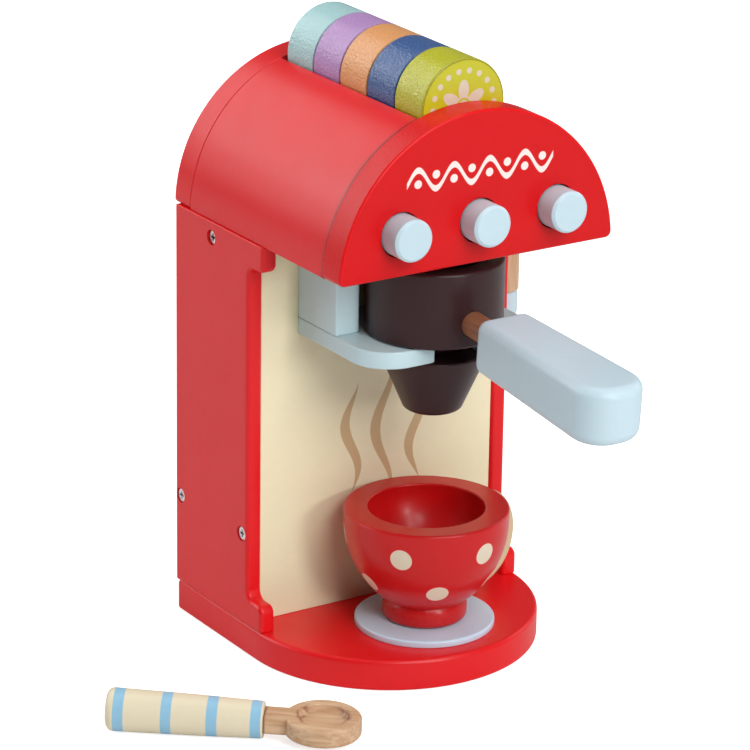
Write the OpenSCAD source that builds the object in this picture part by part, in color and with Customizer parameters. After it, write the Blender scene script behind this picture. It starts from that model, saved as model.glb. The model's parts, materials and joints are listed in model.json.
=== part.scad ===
// Wooden toy coffee maker: a case of painted boards, a vaulted housing that carries five pods,
// three sprung buttons, a fork that holds a filter with a paddle handle, a steam wand at the side,
// a cup on a round drip disc, and a spoon that lies beside the base.
// +Z is up and the front faces -Y. The origin is on the floor, in the middle of the base.

/* [Base board] */
// Width of the base, and of the case over its side panels
base_w = 130; // [118:1:146]
// Distance from the origin to the straight back edge
base_back = 65; // [60:1:75]
// How far the centre of the round front stands ahead of the origin
base_nose = 0.5; // [0:0.5:12]
// Thickness of the base
base_t = 13.6; // [10:0.2:18]
// Radius of the two back corners
base_corner_r = 2.5; // [2:0.5:12]

/* [Case] */
// Thickness of the side, front and back panels
panel_t = 7.2; // [6:0.2:9]
// Height of the panels, from the base to the underside of the housing
case_h = 169.7; // [160:1:185]
// Distance from the origin back to the front edges of the side panels
case_front = 6.3; // [2:0.1:10]
// How far the side panels' top tabs and feet stand ahead of those edges
tab_reach = 11.2; // [9:0.2:14]
// Height of a tab and of a foot
tab_h = 11.5; // [9.5:0.5:16]
// Radius of the outer corner of a tab
tab_corner_r = 3.5; // [1.5:0.5:4.5]
// Radius of the hollow that runs from a tab into the edge
tab_fillet_r = 4; // [1.5:0.5:4.5]
// How far the front panel lies behind the side panels' edges
front_recess = 1.2; // [0.4:0.1:3]
// Thickness of the shelf under the housing
shelf_t = 13.5; // [12:0.5:18]

/* [Housing] */
// How far the vault lies inside the width of the base, on each side
roof_inset = 1; // [0:0.5:5]
// How far the vault's axis lies below the top of the case
roof_sink = 1.3; // [0:0.1:4]
// Thickness of the two curved roof panels
roof_wall = 6; // [5:0.5:7]
// Thickness of the arched back board
back_arch_t = 13.5; // [10:0.5:18]
// How far the arched back board stands out behind the case
back_overhang = 3.5; // [0:0.5:6]
// Thickness of the face plate
face_t = 13.1; // [10:0.1:16]
// How far the face plate stands out round the vault
face_lip = 2; // [1:0.5:4]
// Height of the face plate's lower edge over the top of the case
face_lift = 0.5; // [0.5:0.1:3]
// How far the face plate's axis lies below its lower edge
face_axis_drop = 2.5; // [1:0.5:6]
// Radius of the lower corners of the two arched boards
arch_corner_r = 3; // [1:0.5:4]
// Thickness of the housing's floor
floor_t = 7.2; // [6:0.2:8]

/* [Pods] */
// Radius of a pod
pod_r = 19.7; // [17:0.1:22]
// Thickness of a pod
pod_t = 20.2; // [17:0.1:23]
// Gap between two pods, and before the first one
pod_gap = 0.25; // [0.1:0.05:1]
// Free length behind the last pod
pod_play = 4.2; // [2:0.1:8]
// How far the pods' axis lies below the crown of the roof
pod_sink = 0.6; // [0:0.1:4]
// Clearance round a pod in its trough
pod_clear = 0.3; // [0.2:0.05:0.8]
// Radius of a pod's edges
pod_edge_r = 0.8; // [0.4:0.1:2]
// Thickness of the trough below the pods
trough_wall = 6; // [4:0.5:8]
// How far the trough reaches out beside its groove
trough_side = 4; // [2:0.5:6]

/* [Buttons] */
// Radius of a button
button_r = 8.75; // [7.5:0.05:9.5]
// How far a button stands out of the face plate
button_out = 10.2; // [8:0.1:13]
// Distance between two buttons
button_pitch = 37.4; // [32:0.2:38]
// Gap round a button in its hole
button_clear = 0.6; // [0.3:0.1:1]
// How far a button can be pressed
button_travel = 5; // [3:0.5:6]
// How much wider than its hole a button's collar is, all round
collar_step = 1.25; // [1:0.05:1.5]
// Thickness of the collar
collar_t = 3; // [2:0.5:4]
// Radius of the guide pin behind a button
pin_r = 3; // [2:0.25:3.5]
// Length of a button's spring at rest
spring_l = 11; // [9:0.5:14]
// Radius of the spring, to the middle of its wire
spring_r = 5; // [4.5:0.25:6]
// Radius of the spring's wire
wire_r = 0.45; // [0.3:0.05:0.6]
// Thickness of the rail that the springs push against
rail_t = 7; // [5:0.5:10]
// Height of the rail over its guide bores
rail_cover = 5; // [3:0.5:8]

/* [Filter holder] */
// Distance from the origin forward to the axis of the filter
filter_y = 33.5; // [31:0.5:37]
// Gap between the filter's head and the housing above it
head_room = 4.3; // [3:0.1:8]
// Thickness of the fork
fork_t = 7.35; // [6:0.25:9]
// How far the fork reaches ahead of the filter's axis
fork_lip = 18; // [15:0.5:24]
// Radius of the fork's front corners
fork_corner_r = 17; // [10:0.5:18]
// Width of a hanger block
hanger_w = 11.3; // [9:0.1:15]
// Distance from the filter's axis back to the front of the hanger blocks
hanger_back = 11.5; // [9:0.5:16]
// Gap between the filter's head and the hanger block on each side
hanger_gap = 0.4; // [0.2:0.1:2]

/* [Filter] */
// Radius of the filter's head
head_r = 28.6; // [26:0.2:31]
// Height of the filter's head
head_h = 32.5; // [30:0.5:35]
// Gap round a pod in the head's bowl
bowl_clear = 0.8; // [0.5:0.1:1.5]
// How far a pod in the bowl lies below the head's rim
bowl_extra = 0.3; // [0:0.1:1.5]
// Radius of the neck in the fork
neck_r = 10.5; // [9:0.25:12]
// Gap between the neck and the fork, on each side
neck_clear = 0.7; // [0.4:0.1:1.5]
// Radius of the core dowel that joins the head and the spout through the neck
core_r = 6; // [4:0.5:7]
// Length of the core dowel's end in the head, and in the spout
core_end_l = 8; // [6:0.5:8.5]
// Radius of the spout at its top
spout_top_r = 23; // [19:0.5:25]
// Radius of the spout at its bottom
spout_tip_r = 11.9; // [10:0.1:14]
// Height of the spout
spout_h = 26.6; // [22:0.2:30]
// Radius of the spout's lower edge
spout_edge_r = 3; // [1.5:0.5:4]
// Gap between pieces that move against each other with flat faces
seat_gap = 0.2; // [0.15:0.05:0.4]

/* [Filter handle] */
// Height of the handle's axis over the head's underside, at the filter's axis
handle_z = 12.3; // [10:0.1:13]
// How far the handle points down
handle_tilt = 4; // [0:0.5:6]
// Radius of the dowel between the head and the handle
dowel_r = 5.3; // [4:0.1:6]
// Length of the dowel that shows
dowel_show = 18.3; // [12:0.1:24]
// Length of the dowel's end in the head
dowel_in_head = 7; // [5:0.5:7.5]
// Length of the dowel's end in the handle
dowel_in_handle = 24; // [15:1:40]
// Length of the handle
handle_l = 85; // [70:1:100]
// Width of the handle at its inner end
handle_w0 = 25; // [21:0.5:30]
// Width of the handle at its outer end
handle_w1 = 31.2; // [26:0.2:38]
// Thickness of the handle at its inner end
handle_t0 = 22.9; // [18:0.1:26]
// Thickness of the handle at its outer end
handle_t1 = 24.5; // [20:0.5:28]
// Radius of the handle's long edges
handle_edge_r = 5.5; // [4:0.5:7]
// Radius of the outer corners, seen from above
handle_corner_r = 11.6; // [8:0.2:13]

/* [Drip disc and cup] */
// Distance of the disc and the cup to the right of the middle
disc_x = 2; // [-5:0.5:5]
// Gap between the cup's rim and the front panel behind it
cup_gap = 0.5; // [0.3:0.1:3]
// Radius of the disc
disc_r = 29.6; // [26:0.2:33]
// Thickness of the disc
disc_t = 2.9; // [2:0.1:5]
// Height of the cup
cup_h = 49.2; // [44:0.2:56]
// Radius of the cup at its rim
cup_r = 34.8; // [32:0.2:38]
// Radius of the hollow in the cup
cup_bore_r = 24.6; // [20:0.2:27]
// Depth of the straight part of that hollow
cup_bore_h = 3; // [1:0.5:6]
// Height of the upright band below the rim
rim_h = 5; // [3:0.5:7]
// Radius of the rim's outer edge
rim_edge_r = 2; // [1:0.25:2.5]
// Radius of the outer curve of the bowl, up to that band
bowl_curve_r = 44.8; // [44:0.2:50]
// Radius of the cup's foot
foot_r = 17.8; // [15:0.2:18.5]
// Height of the foot
foot_h = 8.4; // [7:0.2:10]
// Outer radius of the cup's round handle
loop_r = 21.5; // [18:0.5:22.5]
// Radius of the finger hole in that handle
loop_hole_r = 12.5; // [10:0.5:14]
// Thickness of that handle
loop_t = 8; // [5:0.5:10]
// Distance from the cup's axis to the middle of that handle
loop_out = 34; // [31:0.5:37]
// Turn of the cup's handle from straight right towards the back
loop_turn = 16; // [0:1:45]

/* [Steam wand] */
// Radius of the wand
wand_r = 8; // [6:0.25:10]
// Gap between the wand and the side panel
wand_gap = 1; // [0.5:0.1:3]
// Distance from the origin back to the wand's axis
wand_y = 26; // [24.5:0.5:40]
// Gap between the pivot's washer and the shelf above it
washer_room = 2.2; // [0.5:0.1:8]
// Length of the wand above its pivot
wand_above = 11; // [9:0.5:14]
// Length of the wand below its pivot
wand_below = 26.3; // [20:0.1:32]
// Radius of the pivot dowel
pivot_r = 4; // [3:0.25:4.5]
// Running clearance round the pivot dowel
pivot_clear = 0.06; // [0.03:0.01:0.09]
// Radius of the washer that keeps the pivot in the panel
washer_r = 7.5; // [6:0.5:8]
// Thickness of that washer
washer_t = 4; // [3:0.5:6]
// Radius of the nozzle
nozzle_r = 7.6; // [5:0.2:7.8]
// Length of the nozzle that shows
nozzle_l = 12.5; // [8:0.5:18]
// Radius of the nozzle's peg in the wand
nozzle_peg_r = 3.5; // [2.5:0.25:4.5]
// Length of that peg
nozzle_peg_l = 8; // [5:0.5:12]
// Radius of the nozzle's lower edge
nozzle_edge_r = 3; // [1:0.5:4]

/* [Spoon] */
// Distance of the handle's free end to the left of the middle
spoon_x = 151.3; // [140:0.5:170]
// Distance of that end ahead of the origin
spoon_y = 28; // [20:0.5:40]
// Turn of the spoon, from pointing right towards the front
spoon_turn = 38; // [20:1:60]
// Downward slope of the spoon's axis
spoon_slope = 1.2; // [0.6:0.1:1.8]
// Length of the spoon's handle
grip_l = 63.9; // [55:0.1:75]
// Radius of the handle near its free end
grip_r0 = 8.85; // [8:0.05:9.5]
// Radius of the handle in its middle
grip_mid_r = 8.45; // [7.8:0.05:9]
// Radius of the handle at its inner end
grip_r1 = 7.6; // [6.6:0.1:8.4]
// Radius of the handle's round free end
grip_end_r = 3; // [1:0.5:5]
// Thickness of the bowl board and its neck
scoop_t = 7.9; // [6:0.1:9]
// Radius of the spoon's round bowl
scoop_r = 15.7; // [13:0.1:18]
// Distance from the handle to the middle of the bowl
scoop_out = 23.8; // [20:0.1:28]
// Width of the neck
scoop_neck_w = 11.8; // [9:0.2:13]
// Radius of the dish in the bowl
dish_r = 10.4; // [8:0.1:12]
// Depth of the dish
dish_d = 3; // [1.5:0.5:4]
// Length of the tenon in the spoon's handle
tenon_l = 12; // [8:1:20]

/* [Screws] */
// Radius of a screw's head
screw_head_r = 3.1; // [2.5:0.1:3.4]
// Thickness of a screw's head
screw_head_t = 1.8; // [1.2:0.1:2.2]
// Radius of a screw's shank
shank_r = 1.6; // [1.2:0.1:1.9]
// Length of a screw's shank
shank_l = 24; // [18:1:30]
// How far the heads of the side screws lie below the surface
screw_sink = 0.5; // [0.2:0.1:1]
// How far the heads of the base screws lie below the surface
base_screw_sink = 2; // [0.5:0.5:4]
// Height of the lower side screws over the base
low_screw_z = 39.8; // [30:0.1:60]
// Distance from the origin back to the upper side screws
high_screw_y = 36; // [33:0.5:42]
// Distance between the two base screws of a side
base_screw_pitch = 32.7; // [20:0.1:40]
// Distance from the middle to each screw under the housing
housing_screw_x = 25; // [15:0.5:30]

/* [Hidden] */

$fn = 96;
// Spheres and rings inside a hull are drawn with this many sides
hull_fn = 32;
// Cuts run this far past the surface they leave
over = 1;
// Gap left where two glued pieces meet on a curve
glue_gap = 0.05;
// Gap between a peg or a screw and its own hole
peg_gap = 0.05;
// Running clearance round a guide pin and round the core dowel
run_gap = 0.08;
// Gap between a button's collar and the face plate, and between it and the floor
collar_gap = 0.35;
// Radius of the edges of turned pieces, and of thin discs
edge_r = 1.2;
thin_edge_r = 0.8;
// Screws: width and depth of the cross, radius of the tip, and room round the head
cross_w = 0.8;
cross_d = 0.9;
screw_tip_r = 0.3;
head_gap = 0.2;

red = "#d8262c";
cream = "#e6dabc";
sky = "#cfe2e8";
brown = "#42292b";
birch = "#cd9f78";
steel = "#c8c8cc";

half_w = base_w / 2;
inner_x = half_w - panel_t;
deck_z = base_t + case_h;
front_y = case_front + front_recess;

roof_r = half_w - roof_inset;
roof_z = deck_z - roof_sink;
vault_r = roof_r - roof_wall;
arch_front = base_back + back_overhang - back_arch_t;
pod_count = 5;
row_l = pod_count * pod_t + pod_count * pod_gap + pod_play;
face_back = arch_front - row_l;
face_front = face_back - face_t;
face_bottom = deck_z + face_lift;
face_z = face_bottom - face_axis_drop;
face_r = roof_r + face_lip;
floor_z = deck_z + floor_t;

pod_z = roof_z + roof_r - pod_sink;
groove_r = pod_r + pod_clear;

hole_r = button_r + button_clear;
collar_r = hole_r + collar_step;
button_z = floor_z + collar_r + collar_gap;
collar_y = face_back + collar_gap;
spring_y = collar_y + collar_t;
rail_y = spring_y + spring_l;
rail_top = button_z + pin_r + rail_cover;
rail_half_w = button_pitch + collar_r;
spring_turns = 5;
wire_steps = 14;
wire_sides = 6;

neck_edge_gap = seat_gap / 2;
head_z = deck_z - head_room - head_h;
fork_top = head_z - seat_gap;
fork_z = fork_top - fork_t;
hanger_x = head_r + hanger_gap;
fork_half_w = hanger_x + hanger_w;
fork_front = filter_y + fork_lip;
slot_half_w = neck_r + neck_clear;
spout_top = fork_z - seat_gap;
bowl_r = pod_r + bowl_clear;
bowl_d = pod_t + bowl_extra;

disc_y = cup_r + cup_gap - front_y;
disc_top = base_t + disc_t;
cup_z = disc_top + seat_gap;
loop_lift = 3;
loop_z = loop_r + loop_lift;

wand_x = half_w + wand_gap + wand_r;
pivot_z = deck_z - shelf_t - washer_room - washer_r;
wand_bottom = pivot_z - wand_below;
wand_edge_r = 2;
pivot_past = 3;
pivot_tail = 1;

// The spoon lies on the floor with the part of its handle that reaches lowest
floor_gap = 0.02;
spoon_z = floor_gap + max(
  grip_r0 + grip_end_r * sin(spoon_slope),
  grip_mid_r + grip_l / 2 * sin(spoon_slope),
  grip_r1 + grip_l * sin(spoon_slope)
) / cos(spoon_slope);

screw_x = half_w - screw_sink;
low_z = base_t + low_screw_z;
front_screw_y = front_y + panel_t / 2;
back_screw_y = base_back - panel_t / 2;
shelf_screw_z = deck_z - shelf_t / 2;
side_screw_at = [[high_screw_y, shelf_screw_z], [back_screw_y, low_z], [front_screw_y, low_z]];
panel_middle_y = (case_front + base_back) / 2;
base_screw_x = half_w - panel_t / 2;
screw_cover = 3;
housing_screw_l = floor_t + shelf_t - screw_head_t - screw_cover;

// ---------- shared shapes ----------

// Outline of a disc of radius r and height h whose rim is rounded by e, for rotate_extrude
module rim_outline(r, h, e) {
  square([r - e, h]);
  translate([0, e]) square([r, h - 2 * e]);
  translate([r - e, e]) circle(e);
  translate([r - e, h - e]) circle(e);
}

module round_disc(r, h, e) {
  rotate_extrude() rim_outline(r, h, e);
}

// Lays a flat outline drawn in x and z upright, and makes it thick from y0 to y1
module upright(y0, y1) {
  translate([0, y1, 0]) rotate([90, 0, 0]) linear_extrude(y1 - y0) children();
}

// A screw whose head lies at z = 0 and whose shank points up
module screw(length) {
  difference() {
    union() {
      cylinder(r = screw_head_r, h = screw_head_t);
      cylinder(r = shank_r, h = screw_head_t + length - shank_r);
      translate([0, 0, screw_head_t + length - shank_r])
        cylinder(r1 = shank_r, r2 = screw_tip_r, h = shank_r);
    }
    for (turn = [0, 90])
      rotate([0, 0, turn]) cube([screw_head_r * 1.2, cross_w, 2 * cross_d], center = true);
  }
}

// The hole that such a screw needs, with room for its head down to z = -deep
module screw_hole(length, deep) {
  translate([0, 0, -deep]) cylinder(r = screw_head_r + head_gap, h = deep + screw_head_t + peg_gap);
  cylinder(r = shank_r + peg_gap, h = screw_head_t + length + peg_gap);
}

// Side screws of one side: side is -1 for left and 1 for right
module at_side_screws(side) {
  for (p = side_screw_at)
    translate([side * screw_x, p[0], p[1]]) rotate([0, -side * 90, 0]) children();
}

module at_base_screws() {
  for (side = [-1, 1], step = [-0.5, 0.5])
    translate([side * base_screw_x, panel_middle_y + step * base_screw_pitch, base_screw_sink]) children();
}

module at_housing_screws() {
  for (side = [-1, 1])
    translate([side * housing_screw_x, high_screw_y, deck_z - shelf_t]) children();
}

// ---------- case ----------

module base_outline() {
  intersection() {
    translate([0, -base_nose]) circle(r = half_w);
    translate([-half_w, -base_nose - half_w]) square([base_w, half_w + over]);
  }
  translate([-half_w, -base_nose]) square([base_w, base_back + base_nose - base_corner_r]);
  translate([base_corner_r - half_w, 0]) square([base_w - 2 * base_corner_r, base_back]);
  for (side = [-1, 1])
    translate([side * (half_w - base_corner_r), base_back - base_corner_r]) circle(r = base_corner_r);
}

module base_board() {
  color(red) difference() {
    linear_extrude(base_t) base_outline();
    at_base_screws() screw_hole(shank_l, base_screw_sink + over);
  }
}

// A tab that points towards -y, its rounded corner down, with the hollow under it
module tab_outline() {
  translate([case_front - tab_reach + tab_corner_r, 0]) square([tab_reach - tab_corner_r + over, tab_h]);
  translate([case_front - tab_reach, tab_corner_r]) square([tab_corner_r, tab_h - tab_corner_r]);
  translate([case_front - tab_reach + tab_corner_r, tab_corner_r]) circle(r = tab_corner_r);
  difference() {
    translate([case_front - tab_fillet_r, -tab_fillet_r]) square([tab_fillet_r + over, tab_fillet_r + over]);
    translate([case_front - tab_fillet_r, -tab_fillet_r]) circle(r = tab_fillet_r);
  }
}

module panel_outline() {
  translate([case_front, 0]) square([base_back - case_front, case_h]);
  translate([0, case_h - tab_h]) tab_outline();
  translate([0, tab_h]) mirror([0, 1]) tab_outline();
}

module side_panel(side) {
  x0 = side < 0 ? -half_w : inner_x;
  color(red) difference() {
    translate([x0, 0, base_t]) rotate([90, 0, 90]) linear_extrude(panel_t) panel_outline();
    at_side_screws(side) screw_hole(shank_l, screw_sink + over);
    at_base_screws() screw_hole(shank_l, over);
    if (side > 0)
      translate([inner_x - over, wand_y, pivot_z]) rotate([0, 90, 0])
        cylinder(r = pivot_r + pivot_clear, h = panel_t + 2 * over);
  }
}

module front_panel() {
  color(cream) difference() {
    translate([-inner_x, front_y, base_t]) cube([2 * inner_x, panel_t, case_h]);
    for (side = [-1, 1]) at_side_screws(side) screw_hole(shank_l, 0);
  }
}

module back_panel() {
  color(red) difference() {
    translate([-inner_x, base_back - panel_t, base_t]) cube([2 * inner_x, panel_t, case_h]);
    for (side = [-1, 1]) at_side_screws(side) screw_hole(shank_l, 0);
  }
}

module top_shelf() {
  color(birch) difference() {
    translate([-inner_x, front_y + panel_t, deck_z - shelf_t])
      cube([2 * inner_x, base_back - front_y - 2 * panel_t, shelf_t]);
    for (side = [-1, 1]) at_side_screws(side) screw_hole(shank_l, 0);
    at_housing_screws() screw_hole(housing_screw_l, over);
  }
}

// ---------- housing ----------

module housing_floor() {
  color(birch) difference() {
    upright(face_back, arch_front) intersection() {
      translate([0, roof_z]) circle(r = vault_r - glue_gap);
      translate([-half_w, deck_z]) square([base_w, floor_t]);
    }
    at_housing_screws() screw_hole(housing_screw_l, 0);
  }
}

// Arch of radius r about z = axis_z with its lower edge at bottom, and rounded lower corners
module arch_outline(r, axis_z, bottom) {
  lift = bottom - axis_z + arch_corner_r;
  corner_x = sqrt(pow(r - arch_corner_r, 2) - lift * lift);
  touch_z = axis_z + lift * r / (r - arch_corner_r);
  intersection() {
    translate([0, axis_z]) circle(r = r);
    translate([-r, touch_z]) square([2 * r, r]);
  }
  translate([-corner_x, bottom]) square([2 * corner_x, touch_z - bottom + over]);
  for (side = [-1, 1])
    translate([side * corner_x, bottom + arch_corner_r]) circle(r = arch_corner_r);
}

module roof_back_board() {
  color(red) upright(arch_front, arch_front + back_arch_t) arch_outline(roof_r, roof_z, deck_z);
}

module face_plate() {
  color(red) difference() {
    upright(face_front, face_back) arch_outline(face_r, face_z, face_bottom);
    for (i = [-1, 0, 1])
      translate([i * button_pitch, face_back + over, button_z]) rotate([90, 0, 0])
        cylinder(r = hole_r, h = face_t + 2 * over);
  }
}

module roof_panel(side) {
  x0 = side < 0 ? -half_w : groove_r;
  color(red) upright(face_back, arch_front) intersection() {
    translate([0, roof_z]) difference() {
      circle(r = roof_r);
      circle(r = vault_r);
    }
    translate([x0, deck_z]) square([half_w - groove_r, half_w]);
  }
}

module pod_trough() {
  half = groove_r + trough_side;
  color(birch) upright(face_back, arch_front) difference() {
    intersection() {
      translate([0, roof_z]) circle(r = vault_r - glue_gap);
      translate([-half, pod_z - groove_r - trough_wall]) square([2 * half, half_w]);
    }
    translate([0, pod_z]) circle(r = groove_r);
  }
}

module pod(index, tint) {
  y = face_back + pod_gap + (pod_count - index) * (pod_t + pod_gap);
  color(tint) translate([0, y + pod_t, pod_z]) rotate([90, 0, 0]) round_disc(pod_r, pod_t, pod_edge_r);
}

// ---------- buttons ----------

module spring_rail() {
  color(birch) difference() {
    translate([-rail_half_w, rail_y, floor_z]) cube([2 * rail_half_w, rail_t, rail_top - floor_z]);
    for (i = [-1, 0, 1])
      translate([i * button_pitch, rail_y - over, button_z]) rotate([-90, 0, 0])
        cylinder(r = pin_r + run_gap, h = rail_t + 2 * over);
  }
}

// A button with its collar and guide pin: place is -1, 0 or 1
module button(place) {
  color(sky) translate([place * button_pitch, 0, button_z]) rotate([-90, 0, 0]) {
    translate([0, 0, face_front - button_out])
      round_disc(button_r, collar_y + collar_t - face_front + button_out, edge_r);
    translate([0, 0, collar_y]) cylinder(r = collar_r, h = collar_t);
    translate([0, 0, spring_y - over]) cylinder(r = pin_r, h = spring_l + rail_t + over);
  }
}

// One ring of points round the wire, at step k of the coil
function wire_ring(k, length) = [
  for (j = [0 : wire_sides - 1])
    let (
      turn = 360 * k / wire_steps,
      side = 360 * j / wire_sides,
      reach = spring_r + wire_r * cos(side),
      rise = wire_r + (length - 2 * wire_r) * k / (spring_turns * wire_steps) + wire_r * sin(side)
    )
    [reach * cos(turn), reach * sin(turn), rise]
];

module coil(length) {
  rings = spring_turns * wire_steps;
  points = [for (k = [0 : rings]) each wire_ring(k, length)];
  sides = [
    for (k = [0 : rings - 1], j = [0 : wire_sides - 1])
      let (a = k * wire_sides, b = a + wire_sides, n = (j + 1) % wire_sides)
      [a + j, b + j, b + n, a + n]
  ];
  start = [for (j = [0 : wire_sides - 1]) j];
  end = [for (j = [wire_sides - 1 : -1 : 0]) rings * wire_sides + j];
  polyhedron(points = points, faces = concat(sides, [start], [end]), convexity = 10);
}

module spring(place) {
  color(steel) translate([place * button_pitch, spring_y + peg_gap, button_z]) rotate([-90, 0, 0])
    coil(spring_l - 2 * peg_gap);
}

// ---------- filter holder ----------

module hanger(side) {
  x0 = side < 0 ? -fork_half_w : hanger_x;
  color(sky) translate([x0, -filter_y + hanger_back, fork_top])
    cube([hanger_w, front_y + filter_y - hanger_back, deck_z - fork_top]);
}

module fork_outline() {
  straight = fork_front - fork_corner_r;
  translate([-fork_half_w, -straight]) square([2 * fork_half_w, front_y + straight]);
  translate([fork_corner_r - fork_half_w, -fork_front])
    square([2 * (fork_half_w - fork_corner_r), fork_front]);
  for (side = [-1, 1])
    translate([side * (fork_half_w - fork_corner_r), -straight]) circle(r = fork_corner_r);
}

module holder_fork() {
  color(sky) translate([0, 0, fork_z]) linear_extrude(fork_t) difference() {
    fork_outline();
    translate([0, -filter_y]) circle(r = slot_half_w);
    translate([-slot_half_w, -fork_front - over]) square([2 * slot_half_w, fork_lip + over]);
  }
}

// ---------- filter ----------

// The handle's axis: z runs outwards from the filter's axis
module along_handle() {
  translate([0, -filter_y, head_z + handle_z]) rotate([90 + handle_tilt, 0, 0]) children();
}

module filter_neck() {
  color(brown) translate([0, -filter_y, fork_z - neck_edge_gap]) difference() {
    cylinder(r = neck_r, h = fork_t + 2 * neck_edge_gap);
    translate([0, 0, -over]) cylinder(r = core_r + run_gap, h = fork_t + 2 * over);
  }
}

module filter_core() {
  color(birch) translate([0, -filter_y, spout_top - core_end_l])
    cylinder(r = core_r, h = head_z - spout_top + 2 * core_end_l);
}

module filter_head() {
  color(brown) difference() {
    translate([0, -filter_y, head_z]) round_disc(head_r, head_h, edge_r);
    translate([0, -filter_y, head_z + head_h - bowl_d]) cylinder(r = bowl_r, h = bowl_d + over);
    translate([0, -filter_y, head_z - over]) cylinder(r = core_r + peg_gap, h = core_end_l + peg_gap + over);
    along_handle() translate([0, 0, head_r - dowel_in_head - peg_gap])
      cylinder(r = dowel_r + peg_gap, h = dowel_in_head + 2 * over);
  }
}

module spout_outline() {
  lean = atan((spout_top_r - spout_tip_r) / spout_h);
  edge_x = spout_tip_r - spout_edge_r * (1 - sin(lean)) / cos(lean);
  touch_r = edge_x + spout_edge_r * cos(lean);
  touch_z = spout_edge_r * (1 - sin(lean));
  polygon([[0, 0], [edge_x, 0], [edge_x, touch_z], [touch_r, touch_z], [spout_top_r, spout_h], [0, spout_h]]);
  intersection() {
    translate([edge_x, spout_edge_r]) circle(r = spout_edge_r);
    square([spout_top_r, touch_z]);
  }
}

module filter_spout() {
  color(brown) translate([0, -filter_y, spout_top - spout_h]) difference() {
    rotate_extrude() spout_outline();
    translate([0, 0, spout_h - core_end_l - peg_gap])
      cylinder(r = core_r + peg_gap, h = core_end_l + peg_gap + over);
  }
}

module filter_dowel() {
  color(birch) along_handle() translate([0, 0, head_r - dowel_in_head])
    cylinder(r = dowel_r, h = dowel_in_head + dowel_show + dowel_in_handle);
}

module filter_handle() {
  inner = head_r + dowel_show;
  outer = inner + handle_l;
  x0 = handle_w0 / 2 - handle_edge_r;
  y0 = handle_t0 / 2 - handle_edge_r;
  x1 = handle_w1 / 2 - handle_corner_r;
  y1 = handle_t1 / 2 - handle_edge_r;
  color(sky) along_handle() difference() {
    hull() for (side = [-1, 1], lift = [-1, 1]) {
      translate([side * x0, lift * y0, inner + handle_edge_r]) sphere(r = handle_edge_r, $fn = hull_fn);
      translate([side * x1, lift * y1, outer - handle_corner_r]) rotate([90, 0, 0])
        rotate_extrude($fn = hull_fn) translate([handle_corner_r - handle_edge_r, 0])
          circle(r = handle_edge_r, $fn = hull_fn);
    }
    translate([0, 0, inner - over]) cylinder(r = dowel_r + peg_gap, h = dowel_in_handle + peg_gap + over);
  }
}

// ---------- drip disc and cup ----------

module drip_disc() {
  color(sky) translate([disc_x, -disc_y, base_t]) round_disc(disc_r, disc_t, thin_edge_r);
}

// Half outline of the cup without its hollow: a foot, then a bowl that ends in a rounded rim
module cup_outline() {
  curve_x = cup_r - bowl_curve_r;
  curve_z = cup_h - rim_h;
  rim_outline(foot_r, foot_h, edge_r);
  intersection() {
    translate([curve_x, curve_z]) circle(r = bowl_curve_r);
    translate([0, foot_h - edge_r]) square([cup_r, curve_z - foot_h + edge_r]);
  }
  translate([0, curve_z - over]) square([cup_r, rim_h + over - rim_edge_r]);
  translate([0, cup_h - rim_h]) square([cup_r - rim_edge_r, rim_h]);
  translate([cup_r - rim_edge_r, cup_h - rim_edge_r]) circle(r = rim_edge_r);
}

module cup_body() {
  color(red) translate([disc_x, -disc_y, cup_z]) difference() {
    rotate_extrude() cup_outline();
    translate([0, 0, cup_h - cup_bore_h]) cylinder(r = cup_bore_r, h = cup_bore_h + over);
    translate([0, 0, cup_h - cup_bore_h]) sphere(r = cup_bore_r);
  }
}

module cup_handle() {
  color(cream) translate([disc_x, -disc_y, cup_z]) difference() {
    rotate([0, 0, loop_turn]) translate([loop_out, loop_t / 2, loop_z]) rotate([90, 0, 0])
      linear_extrude(loop_t) difference() {
        circle(r = loop_r);
        circle(r = loop_hole_r);
      }
    rotate_extrude() cup_outline();
  }
}

// ---------- steam wand ----------

module wand_arm() {
  color(birch) difference() {
    translate([wand_x, wand_y, wand_bottom]) round_disc(wand_r, wand_below + wand_above, wand_edge_r);
    translate([wand_x, wand_y, wand_bottom - over])
      cylinder(r = nozzle_peg_r + peg_gap, h = nozzle_peg_l + peg_gap + over);
    translate([half_w, wand_y, pivot_z]) rotate([0, 90, 0])
      cylinder(r = pivot_r + peg_gap, h = wand_x + pivot_past - half_w + peg_gap);
  }
}

module wand_nozzle() {
  color(sky) translate([wand_x, wand_y, wand_bottom - nozzle_l]) {
    rotate_extrude() {
      square([nozzle_r - nozzle_edge_r, nozzle_l]);
      translate([0, nozzle_edge_r]) square([nozzle_r, nozzle_l - nozzle_edge_r]);
      translate([nozzle_r - nozzle_edge_r, nozzle_edge_r]) circle(r = nozzle_edge_r);
    }
    cylinder(r = nozzle_peg_r, h = nozzle_l + nozzle_peg_l);
  }
}

module wand_pivot() {
  inner_end = inner_x - seat_gap - washer_t - pivot_tail;
  color(birch) translate([inner_end, wand_y, pivot_z]) rotate([0, 90, 0])
    cylinder(r = pivot_r, h = wand_x + pivot_past - inner_end);
}

module wand_washer() {
  color(birch) translate([inner_x - seat_gap - washer_t, wand_y, pivot_z]) rotate([0, 90, 0])
    difference() {
      cylinder(r = washer_r, h = washer_t);
      translate([0, 0, -over]) cylinder(r = pivot_r + peg_gap, h = washer_t + 2 * over);
    }
}

// ---------- spoon ----------

// The spoon's axis: x runs from the handle's free end towards the bowl
module along_spoon() {
  translate([-spoon_x, -spoon_y, spoon_z]) rotate([0, spoon_slope, -spoon_turn]) children();
}

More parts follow.
